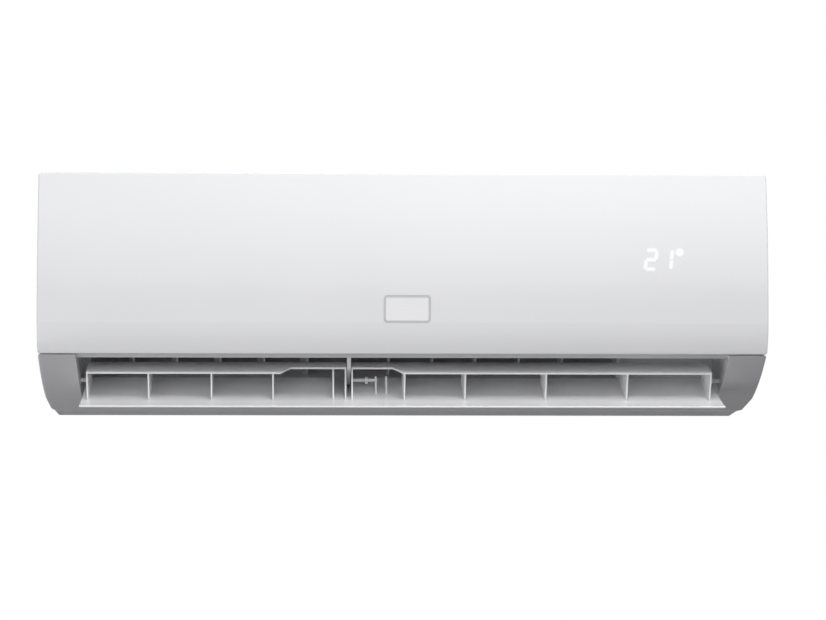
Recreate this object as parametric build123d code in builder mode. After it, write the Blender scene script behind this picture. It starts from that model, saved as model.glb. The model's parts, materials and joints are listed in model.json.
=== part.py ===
"""Wall-hung indoor unit of a split air conditioner, as an assembly of separate pieces.

Row frame: +X to the right as seen from the front, +Y towards the wall, +Z up. The origin is the centre of
the wall plate's four-bolt pattern, on the wall plane. Sections are drawn in (depth, height): depth is
measured forward from the wall plane and height up from the unit's lowest edge. Lengths are in millimetres.
"""

import math
import os

from build123d import *

# ---------------------------------------------------------------- overall sizes
unit_width = 790.0
unit_height = 275.0
unit_depth = 200.0
bolt_height = 170.0  # centre of the wall plate's bolt pattern above the lowest edge
wall = 2.5  # moulded casing wall
gap = 0.3  # clearance between pieces that seat on each other
back_gap = 1.0  # the casing stops this far short of the wall
running_gap = 0.06  # radial clearance of a pin that turns in a hole

# ---------------------------------------------------------------- wall plate
plate_wall = 1.2
plate_width = 700.0
plate_low = 62.0
plate_high = unit_height - 27.0
plate_flange = 7.0
bolt_spacing_x = 450.0
bolt_spacing_z = 130.0
bolt_hole_radius = 3.0
hook_width = 22.0
hook_rise = 11.0
hook_positions = (-300.0, -110.0, 110.0, 300.0)
plate_window_width = 120.0
plate_window_height = 70.0
plate_window_pitch = 165.0

# ---------------------------------------------------------------- front panel
panel_wall = 3.0
panel_bottom = 78.2
belly_height = 112.0  # height where the panel stands furthest forward
panel_top_setback = 14.0
panel_bottom_setback = 6.0
panel_top_drop = 1.0  # the panel's top edge lies this far under the unit's top
panel_return = 28.0  # depth of the side returns behind the belly
panel_return_wall = 2.8
panel_edge_radius = 1.8
panel_corner_radius = 3.0
hinge_setback = 24.0  # panel hinge axis behind the belly
hinge_drop = 13.0  # panel hinge axis under the unit's top
hinge_pin_radius = 2.5
hinge_pin_length = 8.0
hinge_arm_width = 4.0
hinge_arm_inset = 19.0  # from the unit's end to the arm's outer face
hinge_arm_radius = 4.6
hinge_lug_radius = 5.6
panel_side_gap = 0.5  # between the panel's side returns and the casing
panel_swing = 60.0  # degrees that the panel opens

badge_x = 4.0
badge_height = 127.0
badge_width = 51.0
badge_tall = 30.0
badge_corner = 4.0
badge_recess = 0.6  # depth of the shallow place for a badge

# ---------------------------------------------------------------- casing
casing_front_setback = 10.5  # the casing's front skin behind the belly
casing_corner_radius = 16.0  # top front corner, which the opened panel clears
casing_edge_radius = 3.0
lip_setback = 7.5  # front lip of the outlet behind the belly
lip_drop = 1.0  # the lip lies this far under the panel's lower edge
outlet_rear_depth = 120.0  # lower rear edge of the outlet
outlet_rear_height = 25.5
outlet_sag = 4.3  # bulge of the underside between the outlet's two edges
bottom_break_depth = 70.0
bottom_break_height = 11.0
chassis_edge_depth = 42.0  # the casing's underside meets the chassis here
chassis_edge_height = 8.0
outlet_half_width = 354.0
cheek_wall = 2.5
lip_inset = 2.9  # the outlet's front lip stands this far inside the closed louver's face
lip_share = 0.085  # and reaches this share of the arc from its front end

# ---------------------------------------------------------------- top grille and front window
grille_slot = 6.5
grille_pitch = 11.5
grille_rows = 9
grille_columns = 8
grille_rib = 6.0
grille_start = 36.0  # depth of the first slot's centre
window_bottom = 109.0
window_top = unit_height - 32.0
window_rib = 5.0
window_columns = 4  # for each filter
window_rows = 2

# ---------------------------------------------------------------- air filters
filter_radius = 138.5
filter_wall = 2.0
filter_front_gap = 16.5  # filter's foremost line behind the belly
filter_top_gap = 9.5  # filter's highest line under the unit's top
filter_low_angle = -8.0
filter_high_angle = 84.0
filter_travel = 10.0  # degrees that a filter pushes up its guides
filter_border = 7.0
filter_bar = 3.0
filter_rows = 5
filter_columns = 4
filter_mesh_wall = 0.5
guide_wall = 3.0
guide_land = 3.0  # the guide stands this far inside the filter's inner face
groove_depth = 1.6
groove_gap = 0.4
groove_engagement = 1.2

# ---------------------------------------------------------------- fan and its chamber
fan_depth = 82.0
fan_height = 128.0
fan_radius = 46.0
chamber_left = -346.0
chamber_right = 245.0
chamber_wall = 3.0
fan_end_gap = 4.0
fan_sections = 4
fan_blades = 24
fan_blade_depth = 11.0
fan_blade_lean = 8.0
fan_blade_bow = 1.6
fan_blade_wall = 1.2
fan_disc_wall = 2.0
fan_shaft_radius = 4.0
bearing_radius = 9.0
bearing_length = 7.0
rubber_radius = 13.0
scroll_wall = 2.5
scroll_gap = 6.0  # between the fan and the scroll behind it
scroll_throat_depth = 60.0
scroll_throat_height = 70.5
scroll_lip_depth = 117.0
scroll_lip_height = 29.4

# ---------------------------------------------------------------- rear chassis
chassis_back_depth = 12.0
chassis_back_wall = 2.5
chassis_top = unit_height - 9.0
channel_depth = 39.0
channel_height = 45.5
exit_margin = 1.5  # the pipes' exit hole ends this far under the channel's roof
exit_corner = 3.0
partition_front = 104.0  # right-hand partition beside the outlet, at the cheek
partition_rear = 84.0  # and at the fan chamber

# ---------------------------------------------------------------- cooling coil
coil_wall = 24.0
coil_margin = 3.0
coil_end_gap = 3.0
coil_plate_wall = 1.2
coil_grooves = 40
coil_groove_width = 1.2
coil_groove_depth = 2.0
coil_front = ((150.0, 103.0), (150.0, 180.0))
coil_upper = ((143.0, 188.0), (102.0, 234.0))
coil_rear = ((81.0, 231.0), (43.0, 187.0))

# ---------------------------------------------------------------- drain pan
pan_wall = 2.5
pan_rear_depth = 131.0
pan_rear_height = 96.0
pan_front_depth = 170.5
pan_lip_depth = 180.0
pan_lip_height = 88.0
pan_roof_depth = 154.0
pan_roof_height = 91.0
pan_rim = 112.0

# ---------------------------------------------------------------- swinging louver
pivot_depth = 137.0
pivot_height = 47.5
louver_open = 54.6  # degrees from closed to the pose that is modelled
louver_length = 700.0
louver_wall = 2.2
louver_edge_gap = 2.4  # along the arc at each edge of the outlet
louver_pin_radius = 2.5
louver_edge_radius = 0.9
inner_blade_wall = 1.8
inner_blade_front = (152.5, 86.6)  # closed pose
inner_blade_rear = (121.4, 59.9)  # closed pose
inner_blade_bow = 1.6
inner_blade_left = -344.0
inner_blade_right = 338.0
recess_left = -122.0
recess_right = -9.6
recess_slope = 11.0
recess_depth = 14.0
rib_wall = 1.6
rib_positions = (-276.5, -208.0, -140.9, -75.0, 2.6, 68.8, 157.2, 246.0)
rib_front_share = 0.30  # where a rib starts along the louver's arc
rib_rear_share = 0.88
boss_radius = 4.2
boss_length = 8.0
bush_radius = 5.0
bush_length = 4.0

# ---------------------------------------------------------------- middle hanger and its latch pin
hanger_x = -58.0
hanger_width = 4.0
hanger_eye_radius = 5.0
hanger_root = 160.0  # rear edge of its foot under the drain pan
hanger_nose = (182.6, 74.6)
ear_gap = 0.8
latch_travel = 7.5
latch_pin_radius = 2.0
latch_knob_radius = 4.2
latch_knob_wall = 3.0
latch_guide_x = -28.7
latch_guide_wall = 2.0

# ---------------------------------------------------------------- louver motor
motor_can_radius = 14.0
motor_can_length = 19.0
motor_shaft_offset = 8.0
motor_ear_spacing = 35.0
motor_ear_radius = 3.5
motor_ear_wall = 1.0

# ---------------------------------------------------------------- upright vanes
vane_pitch = 48.6
vanes_per_bank = 5
vane_middle = -57.6
vane_right_offset = 45.6  # from the strut between the banks to the right bank's first vane
vane_wall = 1.6
vane_front = 11.5  # forward of the vane's pivot
vane_tip = 15.0
vane_rear = 20.0  # behind the vane's pivot
vane_height = 38.0
vane_rear_height = 12.0
vane_pin_radius = 2.0
vane_seat = 84.0  # depth of the vanes' pivots on the scroll's floor
vane_foot_gap = 0.8
vane_left_turn = 14.0  # how far the left bank is turned as modelled
link_reach = 17.0
link_tab_height = 3.4
link_tab_wall = 2.0
link_tab_width = 4.4
link_gap = 0.4
link_wall = 2.4
link_width = 5.0
link_pin_radius = 1.2
link_overhang = 18.0  # past the pin at each bar's outer end
link_inner_reach = {"left": 13.6, "right": 21.0}  # and at its inner end
link_chamfer = 4.0

# ---------------------------------------------------------------- fan motor
fan_motor_left = 274.0
fan_motor_length = 56.0
fan_motor_radius = 36.0
fan_motor_boss_radius = 13.0
fan_motor_boss = 6.0
clamp_wall = 2.5
clamp_foot = 9.0
clamp_inset = 5.0
saddle_wall = 3.0

# ---------------------------------------------------------------- control box
box_left = 270.0
box_right = 384.0
box_front = 110.0
box_high = unit_height - 29.0
box_low = box_high - 68.0
box_wall = 2.0
cover_wall = 2.0
board_wall = 1.6
board_inset = 5.0
terminal_width = 52.0
terminal_height = 18.0
terminal_depth = 14.0
terminal_x = 352.0
terminal_low = box_low + 8.0

# ---------------------------------------------------------------- display and button behind the panel
display_x = 284.0
display_height = 179.0
display_width = 62.0
display_tall = 38.0
display_deep = 5.0
display_wall = 1.5
button_x = display_x
button_height = 132.0
button_radius = 4.0
button_cap = 2.0
button_travel = 1.5
button_sink = 1.5  # the cap's face lies this far behind the casing's skin
button_dish = 1.2  # depth of the shallow dish round the cap
button_dish_radius = 9.0
button_dish_taper = 50.0

# ---------------------------------------------------------------- refrigerant pipes
gas_radius = 4.76
gas_union_radius = 7.94
liquid_radius = 3.18
liquid_union_radius = 5.56
pipe_wall = 0.8
union_flat = 0.7  # the hexagon's flats stand this far outside the thread
nut_length = 4.5
thread_length = 11.5
gas_run = (264.0, 28.0, 32.0)  # x, depth and height of the corner where the pipe turns along the channel
liquid_run = (253.0, 18.3, 14.0)
gas_start = (62.0, 208.0)  # depth and height where the pipes leave the coil
liquid_start = (150.0, 140.0)
gas_end = -150.0
liquid_end = -190.0

# ---------------------------------------------------------------- derived places
half_width = unit_width / 2
base_z = -bolt_height
belly = unit_depth
crown_top = unit_height - panel_top_drop

os.makedirs("parts", exist_ok=True)


# ---------------------------------------------------------------- planes and points
def across(x):
    """The plane across the unit at x: local X is depth, local Y is height, and it faces -X."""
    return Plane(origin=(x, 0, base_z), x_dir=(0, -1, 0), z_dir=(-1, 0, 0))


def facing(depth):
    """The plane parallel to the wall at a depth: local X is x, local Y is height, and it faces forward."""
    return Plane(origin=(0, -depth, base_z), x_dir=(1, 0, 0), z_dir=(0, -1, 0))


def level(height):
    """The level plane at a height: local X is x, local Y is minus the depth."""
    return Plane(origin=(0, 0, base_z + height), x_dir=(1, 0, 0), z_dir=(0, 0, 1))


def place(x, depth, height):
    """A point of the row frame from x, depth and height."""
    return (x, -depth, base_z + height)


def polar(centre, radius, degrees):
    """A (depth, height) point at a radius and an angle from a centre."""
    a = math.radians(degrees)
    return (centre[0] + radius * math.cos(a), centre[1] + radius * math.sin(a))


def turned(point, centre, degrees):
    """A (depth, height) point turned clockwise about a centre, the way the louver opens."""
    angle = math.degrees(math.atan2(point[1] - centre[1], point[0] - centre[0]))
    return polar(centre, math.dist(point, centre), angle - degrees)


def beside(a, b, share, off):
    """The point a share of the way from a to b, and off to the left of that line."""
    length = math.dist(a, b)
    along = ((b[0] - a[0]) / length, (b[1] - a[1]) / length)
    return (
        a[0] + along[0] * share * length - along[1] * off,
        a[1] + along[1] * share * length + along[0] * off,
    )


def write_piece(built, label):
    """Label a finished piece and write its STEP file."""
    built.part.label = label
    export_step(built.part, f"parts/{label}.step")


# ---------------------------------------------------------------- shared outlines
belly_point = (belly, belly_height)
panel_foot = (belly - panel_bottom_setback, panel_bottom)
hinge = (belly - hinge_setback, unit_height - hinge_drop)
lip = (belly - lip_setback, panel_bottom - lip_drop)
outlet_rear = (outlet_rear_depth, outlet_rear_height)
bottom_break = (bottom_break_depth, bottom_break_height)
chassis_edge = (chassis_edge_depth, chassis_edge_height)
pivot = (pivot_depth, pivot_height)
fan_axis = (fan_depth, fan_height)
filter_centre = (
    belly - filter_front_gap - filter_radius,
    unit_height - filter_top_gap - filter_radius,
)
crown_rise = crown_top - belly_height
crown_radius = (panel_top_setback**2 + crown_rise**2) / (2 * panel_top_setback)
skirt_rise = belly_height - panel_bottom
skirt_radius = (panel_bottom_setback**2 + skirt_rise**2) / (2 * panel_bottom_setback)


def front_point(height, inset):
    """The point of the bowed front at a height, inset behind the panel's outer face."""
    radius = crown_radius if height >= belly_height else skirt_radius
    rise = height - belly_height
    return (belly - radius + math.sqrt((radius - inset) ** 2 - rise**2), height)


def on_front(x, height, inset):
    """The plane that lies on the bowed front, inset behind the panel's outer face, facing outward."""
    radius = crown_radius if height >= belly_height else skirt_radius
    lean = math.asin((height - belly_height) / (radius - inset))
    depth = front_point(height, inset)[0]
    return Plane(origin=place(x, depth, height), x_dir=(1, 0, 0), z_dir=(0, -math.cos(lean), math.sin(lean)))


outlet_chord = math.dist(lip, outlet_rear)
outlet_radius = ((outlet_chord / 2) ** 2 + outlet_sag**2) / (2 * outlet_sag)
outlet_centre = beside(lip, outlet_rear, 0.5, -(outlet_radius - outlet_sag))
outlet_sweep = math.degrees(2 * math.asin(outlet_chord / 2 / outlet_radius))
outlet_start = math.degrees(math.atan2(lip[1] - outlet_centre[1], lip[0] - outlet_centre[0]))


def outlet_point(share, inset):
    """The point of the underside's arc a share of the way from the lip to the outlet's rear edge."""
    return polar(outlet_centre, outlet_radius - inset, outlet_start - share * outlet_sweep)


def casing_section(inset):
    """The casing's side outline behind the front panel, inset by a wall."""
    skin = casing_front_setback
    with BuildSketch() as section:
        with BuildLine():
            Line((back_gap, unit_height), (back_gap, 0))
            Line((back_gap, 0), chassis_edge)
            Line(chassis_edge, bottom_break)
            Line(bottom_break, outlet_rear)
            ThreePointArc(outlet_rear, outlet_point(0.5, 0), lip)
            Line(lip, front_point(lip[1], skin))
            ThreePointArc(
                front_point(lip[1], skin),
                front_point((lip[1] + belly_height) / 2, skin),
                front_point(belly_height, skin),
            )
            ThreePointArc(
                front_point(belly_height, skin),
                front_point((belly_height + unit_height) / 2, skin),
                front_point(unit_height, skin),
            )
            Line(front_point(unit_height, skin), (back_gap, unit_height))
        make_face()
        corner = section.vertices().group_by(Axis.Y)[-1].sort_by(Axis.X)[-1]
        fillet(corner, casing_corner_radius)
        if inset:
            offset(amount=-inset, kind=Kind.INTERSECTION, mode=Mode.REPLACE)
    return section.sketch


def arc_band(centre, outer, inner, low, high):
    """A band between two radii about a centre, from one angle to another in degrees."""
    with BuildSketch() as band:
        with BuildLine():
            CenterArc(centre, outer, low, high - low)
            CenterArc(centre, inner, low, high - low)
            Line(polar(centre, inner, low), polar(centre, outer, low))
            Line(polar(centre, inner, high), polar(centre, outer, high))
        make_face()
    return band.sketch


# ---------------------------------------------------------------- wall plate
plate_mid = (plate_low + plate_high) / 2
plate_height = plate_high - plate_low
hook_front = chassis_back_depth + chassis_back_wall + gap

with BuildPart() as wall_plate:
    with BuildSketch(facing(0)):
        with Locations((0, plate_mid)):
            RectangleRounded(plate_width, plate_height, 8)
            with GridLocations(plate_window_pitch, 0, 3, 1):
                RectangleRounded(plate_window_width, plate_window_height, 6, mode=Mode.SUBTRACT)
        with Locations((0, bolt_height)), GridLocations(bolt_spacing_x, bolt_spacing_z, 2, 2):
            Circle(bolt_hole_radius, mode=Mode.SUBTRACT)
    extrude(amount=plate_wall)
    with BuildSketch(facing(0)):
        with Locations((0, plate_low + plate_wall / 2), (0, plate_high - plate_wall / 2)):
            Rectangle(plate_width - 2 * hook_width, plate_wall)
    extrude(amount=plate_flange)
    for hook_x in hook_positions:
        with BuildSketch(across(hook_x + hook_width / 2)):
            with BuildLine():
                Polyline(
                    (0, plate_high - plate_wall),
                    (hook_front + plate_wall, plate_high - plate_wall),
                    (hook_front + plate_wall, plate_high + hook_rise),
                    (hook_front, plate_high + hook_rise),
                    (hook_front, plate_high),
                    (0, plate_high),
                    close=True,
                )
            make_face()
        extrude(amount=hook_width)
write_piece(wall_plate, "wall_plate")

# ---------------------------------------------------------------- casing
inner_side = half_width - panel_return_wall - panel_side_gap  # the casing's face under the side returns
return_edge = belly - panel_return  # rear edge of the panel's side returns
step_edge = return_edge - panel_side_gap
hinge_arm_outer = half_width - hinge_arm_inset
hinge_sweep_radius = math.dist(hinge, (return_edge, hinge[1])) + 2.5 * panel_side_gap
guide_inner = filter_radius - filter_wall - guide_land
guide_middle = (chamber_left + chamber_right) / 2
guide_faces = (chamber_left - gap, guide_middle + guide_wall / 2, chamber_right + guide_wall + gap)


def window_edges(left, right, count, rib):
    """Left and right edges of equal openings between two x values, with a rib between neighbours."""
    width = (right - left - (count - 1) * rib) / count
    return [(left + i * (width + rib), left + i * (width + rib) + width) for i in range(count)]


with BuildPart() as front_frame:
    with BuildSketch(across(half_width)):
        add(casing_section(0))
    extrude(amount=unit_width)
    ends = front_frame.faces().sort_by(Axis.X)
    end_edges = ends[0].edges() + ends[-1].edges()
    fillet([edge for edge in end_edges if edge.center().Y < -2 * casing_edge_radius], casing_edge_radius)
    # the cavity, wider behind the step that the panel's returns cover
    with BuildSketch(across(inner_side - wall)):
        add(casing_section(wall))
    extrude(amount=2 * (inner_side - wall), mode=Mode.SUBTRACT)
    with BuildSketch(across(half_width - wall)):
        add(casing_section(wall))
        with Locations((step_edge - wall, 0)):
            Rectangle(unit_depth, 2 * unit_height, align=(Align.MIN, Align.CENTER), mode=Mode.SUBTRACT)
    extrude(amount=unit_width - 2 * wall, mode=Mode.SUBTRACT)
    # the open back and the place of the chassis's lower edge
    with BuildSketch(across(half_width - wall)):
        back_height = unit_height - chassis_edge_height - 2 * wall
        with Locations((0, chassis_edge_height + wall)):
            Rectangle(2 * wall + 2 * back_gap, back_height, align=(Align.CENTER, Align.MIN))
        with Locations((0, 0)):
            Rectangle(chassis_edge_depth, chassis_edge_height + 2 * wall, align=(Align.MIN, Align.CENTER))
        with Locations((0, 0)):
            Rectangle(chassis_edge_depth, chassis_edge_height + 2 * wall, align=(Align.MIN, Align.MIN))
    extrude(amount=unit_width - 2 * wall, mode=Mode.SUBTRACT)
    # the pipes' way out through the left end
    with BuildSketch(across(wall - half_width)) as exit_hole:
        with BuildLine():
            Polyline(
                (0, wall),
                (channel_depth, wall + chassis_edge_height * channel_depth / chassis_edge_depth),
                (channel_depth, channel_height - exit_margin),
                (0, channel_height - exit_margin),
                close=True,
            )
        make_face()
        fillet(exit_hole.vertices().sort_by(Axis.X)[-2:], exit_corner)
    extrude(amount=2 * wall, mode=Mode.SUBTRACT)
    # the step under the panel's side returns
    for side in (-1, 1):
        with BuildSketch(across(half_width if side > 0 else -inner_side)):
            with Locations((step_edge, 0)):
                Rectangle(unit_depth, 2 * unit_height, align=(Align.MIN, Align.CENTER))
            with Locations(hinge):
                Circle(hinge_sweep_radius)
            with Locations((0, 0)):
                Rectangle(2 * unit_depth, 2 * panel_foot[1] - 1.4, mode=Mode.SUBTRACT)
        extrude(amount=half_width - inner_side, mode=Mode.SUBTRACT)
    # the outlet
    with BuildSketch(across(outlet_half_width)):
        with BuildLine():
            outlet_cut = [outlet_point(share, -wall) for share in (0, 0.5, 1)]
            outlet_top = [outlet_point(share, 2.2 * wall) for share in (0, 0.5, 1)]
            ThreePointArc(*outlet_cut)
            Line(outlet_cut[2], outlet_top[2])
            ThreePointArc(*reversed(outlet_top))
            Line(outlet_top[0], outlet_cut[0])
        make_face()
    extrude(amount=2 * outlet_half_width, mode=Mode.SUBTRACT)
    with BuildSketch(across(outlet_half_width)):
        with BuildLine():
            Polyline(
                outlet_point(lip_share, -wall),
                outlet_point(lip_share, lip_inset),
                (pan_lip_depth + gap, pan_lip_height - 2 * wall),
                (pan_lip_depth - 4 * wall, pan_lip_height - 2 * wall),
                (pan_lip_depth - 4 * wall, pivot_height),
                close=True,
            )
        make_face()
    extrude(amount=2 * outlet_half_width, mode=Mode.SUBTRACT)
    # the beam over the outlet, whose lip shows under the panel and which carries the drain pan's front edge
    with BuildSketch(across(inner_side - wall / 2)):
        with BuildLine():
            Polyline(
                outlet_point(lip_share, lip_inset),
                outlet_point(lip_share / 2, lip_inset),
                outlet_point(0, lip_inset + 0.5),
                front_point(pan_lip_height - 2 * wall, casing_front_setback),
                front_point(pan_lip_height + gap, casing_front_setback + wall / 2),
                (pan_lip_depth + gap, pan_lip_height + gap),
                (pan_lip_depth + gap, pan_lip_height - 2 * wall),
                close=True,
            )
        make_face()
    extrude(amount=2 * inner_side - wall)
    # the outlet's side walls
    for side in (-1, 1):
        with BuildSketch(across(side * outlet_half_width + (cheek_wall if side > 0 else 0))):
            add(casing_section(wall / 2))
            with Locations((partition_front - wall, pan_lip_height + 6)):
                Rectangle(unit_depth, unit_height, align=(Align.MIN, Align.MIN), mode=Mode.SUBTRACT)
            with Locations((partition_front - wall, 0)):
                Rectangle(unit_depth, 2 * unit_height, align=(Align.MAX, Align.CENTER), mode=Mode.SUBTRACT)
            if side < 0:
                with Locations(pivot):
                    Circle(bush_radius + gap / 3, mode=Mode.SUBTRACT)
            else:
                with Locations(pivot):
                    Circle(louver_pin_radius + gap, mode=Mode.SUBTRACT)
        extrude(amount=cheek_wall)
    # curved guides for the two air filters
    for face in guide_faces:
        with BuildSketch(across(face)):
            add(casing_section(wall / 2))
            with Locations((unit_depth, window_bottom - window_rib)):
                Rectangle(2 * unit_depth, unit_height, align=(Align.CENTER, Align.MAX), mode=Mode.SUBTRACT)
            with Locations((chassis_back_depth * 2, 0)):
                Rectangle(unit_depth, 2 * unit_height, align=(Align.MAX, Align.CENTER), mode=Mode.SUBTRACT)
            with Locations(filter_centre):
                Circle(guide_inner, mode=Mode.SUBTRACT)
        extrude(amount=guide_wall)
    groove_faces = (
        chamber_left - gap,
        guide_middle - guide_wall / 2 + groove_depth,
        guide_middle + guide_wall / 2,
        chamber_right + gap + groove_depth,
    )
    for face in groove_faces:
        with BuildSketch(across(face)):
            add(
                arc_band(
                    filter_centre,
                    filter_radius + groove_gap,
                    filter_radius - filter_wall - groove_gap,
                    filter_low_angle - 0.15,
                    filter_high_angle + filter_travel + 1,
                )
            )
        extrude(amount=groove_depth, mode=Mode.SUBTRACT)
    # the window that the filters fill, and the grille over the top
    with BuildSketch(facing(belly - panel_return)):
        window_height = (window_top - window_bottom - (window_rows - 1) * window_rib) / window_rows
        left_bay = (chamber_left, guide_middle - guide_wall / 2 - window_rib)
        right_bay = (guide_middle + guide_wall / 2 + window_rib, chamber_right)
        for bay in (left_bay, right_bay):
            for left, right in window_edges(*bay, window_columns, window_rib):
                for row in range(window_rows):
                    foot = window_bottom + row * (window_height + window_rib)
                    with Locations((left, foot)):
                        Rectangle(right - left, window_height, align=(Align.MIN, Align.MIN))
    extrude(amount=panel_return, mode=Mode.SUBTRACT)
    with BuildSketch(level(unit_height - wall)):
        grille_mid = grille_start + (grille_rows - 1) * grille_pitch / 2
        grille_width = (chamber_right - chamber_left) / grille_columns
        with Locations(((chamber_left + chamber_right) / 2, -grille_mid)):
            with GridLocations(grille_width, grille_pitch, grille_columns, grille_rows):
                SlotOverall(grille_width - grille_rib, grille_slot)
    extrude(amount=2 * wall, mode=Mode.SUBTRACT)
    # lugs for the panel's hinge pins, and pockets for its arms
    for side in (-1, 1):
        pocket_mid = side * (hinge_arm_outer - hinge_arm_width / 2)
        with BuildSketch(across(pocket_mid + hinge_arm_width / 2 + panel_side_gap)):
            with Locations(hinge):
                Circle(hinge_arm_radius + 2 * panel_side_gap)
            pocket_reach = hinge_arm_radius + 2 * panel_side_gap
            with Locations((hinge[0] - pocket_reach, hinge[1] - pocket_reach)):
                Rectangle(unit_depth, unit_height, align=(Align.MIN, Align.MIN))
        extrude(amount=hinge_arm_width + 2 * panel_side_gap, mode=Mode.SUBTRACT)
        lug_inner = hinge_arm_outer + panel_side_gap
        with BuildSketch(across(max(side * lug_inner, side * (inner_side - wall / 2)))):
            with Locations(hinge):
                Circle(hinge_lug_radius)
            with BuildLine():
                Polyline(
                    polar(hinge, hinge_lug_radius, 225),
                    polar(hinge, hinge_lug_radius, 45),
                    (hinge[0] - hinge_lug_radius, unit_height - wall / 2),
                    (hinge[0] - casing_corner_radius - wall, unit_height - 2 * casing_corner_radius),
                    close=True,
                )
            make_face()
            add(casing_section(wall / 4), mode=Mode.INTERSECT)
            with Locations(hinge):
                Circle(hinge_lug_radius)
        extrude(amount=inner_side - wall / 2 - lug_inner)
        hole_left = min(side * lug_inner, side * (lug_inner + hinge_pin_length + gap))
        with BuildSketch(across(hole_left + hinge_pin_length + gap)):
            with Locations(hinge):
                Circle(hinge_pin_radius + running_gap)
        extrude(amount=hinge_pin_length + gap, mode=Mode.SUBTRACT)
    # the emergency button's hole and the dish round it
    with BuildSketch(facing(belly - 2 * casing_front_setback)):
        with Locations((button_x, button_height)):
            Circle(button_radius + gap)
    extrude(amount=2 * casing_front_setback, mode=Mode.SUBTRACT)
    with BuildSketch(on_front(button_x, button_height, casing_front_setback)):
        Circle(button_dish_radius)
    extrude(amount=-button_dish, taper=button_dish_taper, mode=Mode.SUBTRACT)
write_piece(front_frame, "front_frame")

# ---------------------------------------------------------------- front panel
with BuildPart() as front_panel:
    with BuildSketch(across(half_width)):
        with BuildLine():
            Line((return_edge, panel_bottom), panel_foot)
            ThreePointArc(panel_foot, front_point((panel_bottom + belly_height) / 2, 0), belly_point)
            crown_middle = front_point((belly_height + crown_top) / 2, 0)
            ThreePointArc(belly_point, crown_middle, front_point(crown_top, 0))
            Line(front_point(crown_top, 0), (return_edge, crown_top))
            Line((return_edge, crown_top), (return_edge, panel_bottom))
        make_face()
    extrude(amount=unit_width)
    corners = front_panel.edges().filter_by(Axis.Y)
    fillet(corners, panel_corner_radius)
    outer = [edge for edge in front_panel.edges() if edge.center().Y < -(return_edge + 3)]
    rim = [edge for edge in outer if abs(edge.tangent_at(0.5).Y) < 0.6]
    fillet(rim, panel_edge_radius)
    # hollow behind the front wall
    with BuildSketch(across(half_width - panel_return_wall)):
        with BuildLine():
            Line((0, panel_bottom), front_point(panel_bottom, panel_wall))
            ThreePointArc(
                front_point(panel_bottom, panel_wall),
                front_point((panel_bottom + belly_height) / 2, panel_wall),
                front_point(belly_height, panel_wall),
            )
            ThreePointArc(
                front_point(belly_height, panel_wall),
                front_point((belly_height + unit_height) / 2, panel_wall),
                front_point(unit_height, panel_wall),
            )
            Line(front_point(unit_height, panel_wall), (0, unit_height))
            Line((0, unit_height), (0, panel_bottom))
        make_face()
    extrude(amount=unit_width - 2 * panel_return_wall, mode=Mode.SUBTRACT)
    # the shallow place for a badge
    with BuildSketch(on_front(badge_x, badge_height, 0)):
        RectangleRounded(badge_width, badge_tall, badge_corner)
    extrude(amount=-badge_recess, mode=Mode.SUBTRACT)
    # side returns cut off aslant behind the hinge, to swing clear of the casing's step
    for side in (-1, 1):
        with BuildSketch(across(half_width if side > 0 else -inner_side)):
            with Locations(polar(hinge, hinge_sweep_radius - 2 * panel_side_gap, 180 - panel_swing)):
                Rectangle(unit_depth, unit_depth, 90 - panel_swing, align=(Align.CENTER, Align.MIN))
        extrude(amount=half_width - inner_side, mode=Mode.SUBTRACT)
    # hinge arms and pins
    for side in (-1, 1):
        arm_left = min(side * hinge_arm_outer, side * (hinge_arm_outer - hinge_arm_width))
        with BuildSketch(across(arm_left + hinge_arm_width)):
            with Locations(hinge):
                Circle(hinge_arm_radius)
            with BuildLine():
                Polyline(
                    (hinge[0], hinge[1] + hinge_arm_radius),
                    (front_point(hinge[1], panel_wall / 2)[0], hinge[1] + hinge_arm_radius),
                    (front_point(hinge[1], panel_wall / 2)[0], hinge[1] - hinge_arm_radius),
                    (hinge[0], hinge[1] - hinge_arm_radius),
                    close=True,
                )
            make_face()
        extrude(amount=hinge_arm_width)
        pin_left = min(side * hinge_arm_outer, side * (hinge_arm_outer + hinge_pin_length))
        with BuildSketch(across(pin_left + hinge_pin_length)):
            with Locations(hinge):
                Circle(hinge_pin_radius)
        extrude(amount=hinge_pin_length)
write_piece(front_panel, "front_panel")


# ---------------------------------------------------------------- air filters
mesh_outer = filter_radius - filter_wall - 0.1
filter_spans = {
    "left": (chamber_left - gap - groove_engagement, guide_middle - guide_wall / 2 + groove_engagement),
    "right": (guide_middle + guide_wall / 2 - groove_engagement, chamber_right + gap + groove_engagement),
}


def filter_frame(left, right):
    """A curved filter frame with a lattice of openings, between two x values."""
    border = math.degrees(filter_border / filter_radius)
    bar = math.degrees(filter_bar / filter_radius)
    cell = (filter_high_angle - filter_low_angle - 2 * border - (filter_rows - 1) * bar) / filter_rows
    with BuildPart() as frame:
        with BuildSketch(across(right)):
            inner = filter_radius - filter_wall
            add(arc_band(filter_centre, filter_radius, inner, filter_low_angle, filter_high_angle))
        extrude(amount=right - left)
        cells = window_edges(left + filter_border, right - filter_border, filter_columns, filter_bar)
        for cell_left, cell_right in cells:
            with BuildSketch(across(cell_right)):
                for row in range(filter_rows):
                    low = filter_low_angle + border + row * (cell + bar)
                    add(arc_band(filter_centre, filter_radius + 1, inner - 1, low, low + cell))
            extrude(amount=cell_right - cell_left, mode=Mode.SUBTRACT)
    return frame


def filter_mesh(left, right):
    """The fine net on the inner face of a filter frame."""
    margin = math.degrees(filter_border / 2 / filter_radius)
    low, high = filter_low_angle + margin, filter_high_angle - margin
    with BuildPart() as mesh:
        with BuildSketch(across(right - filter_border / 2)):
            add(arc_band(filter_centre, mesh_outer, mesh_outer - filter_mesh_wall, low, high))
        extrude(amount=right - left - filter_border)
    return mesh


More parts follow.
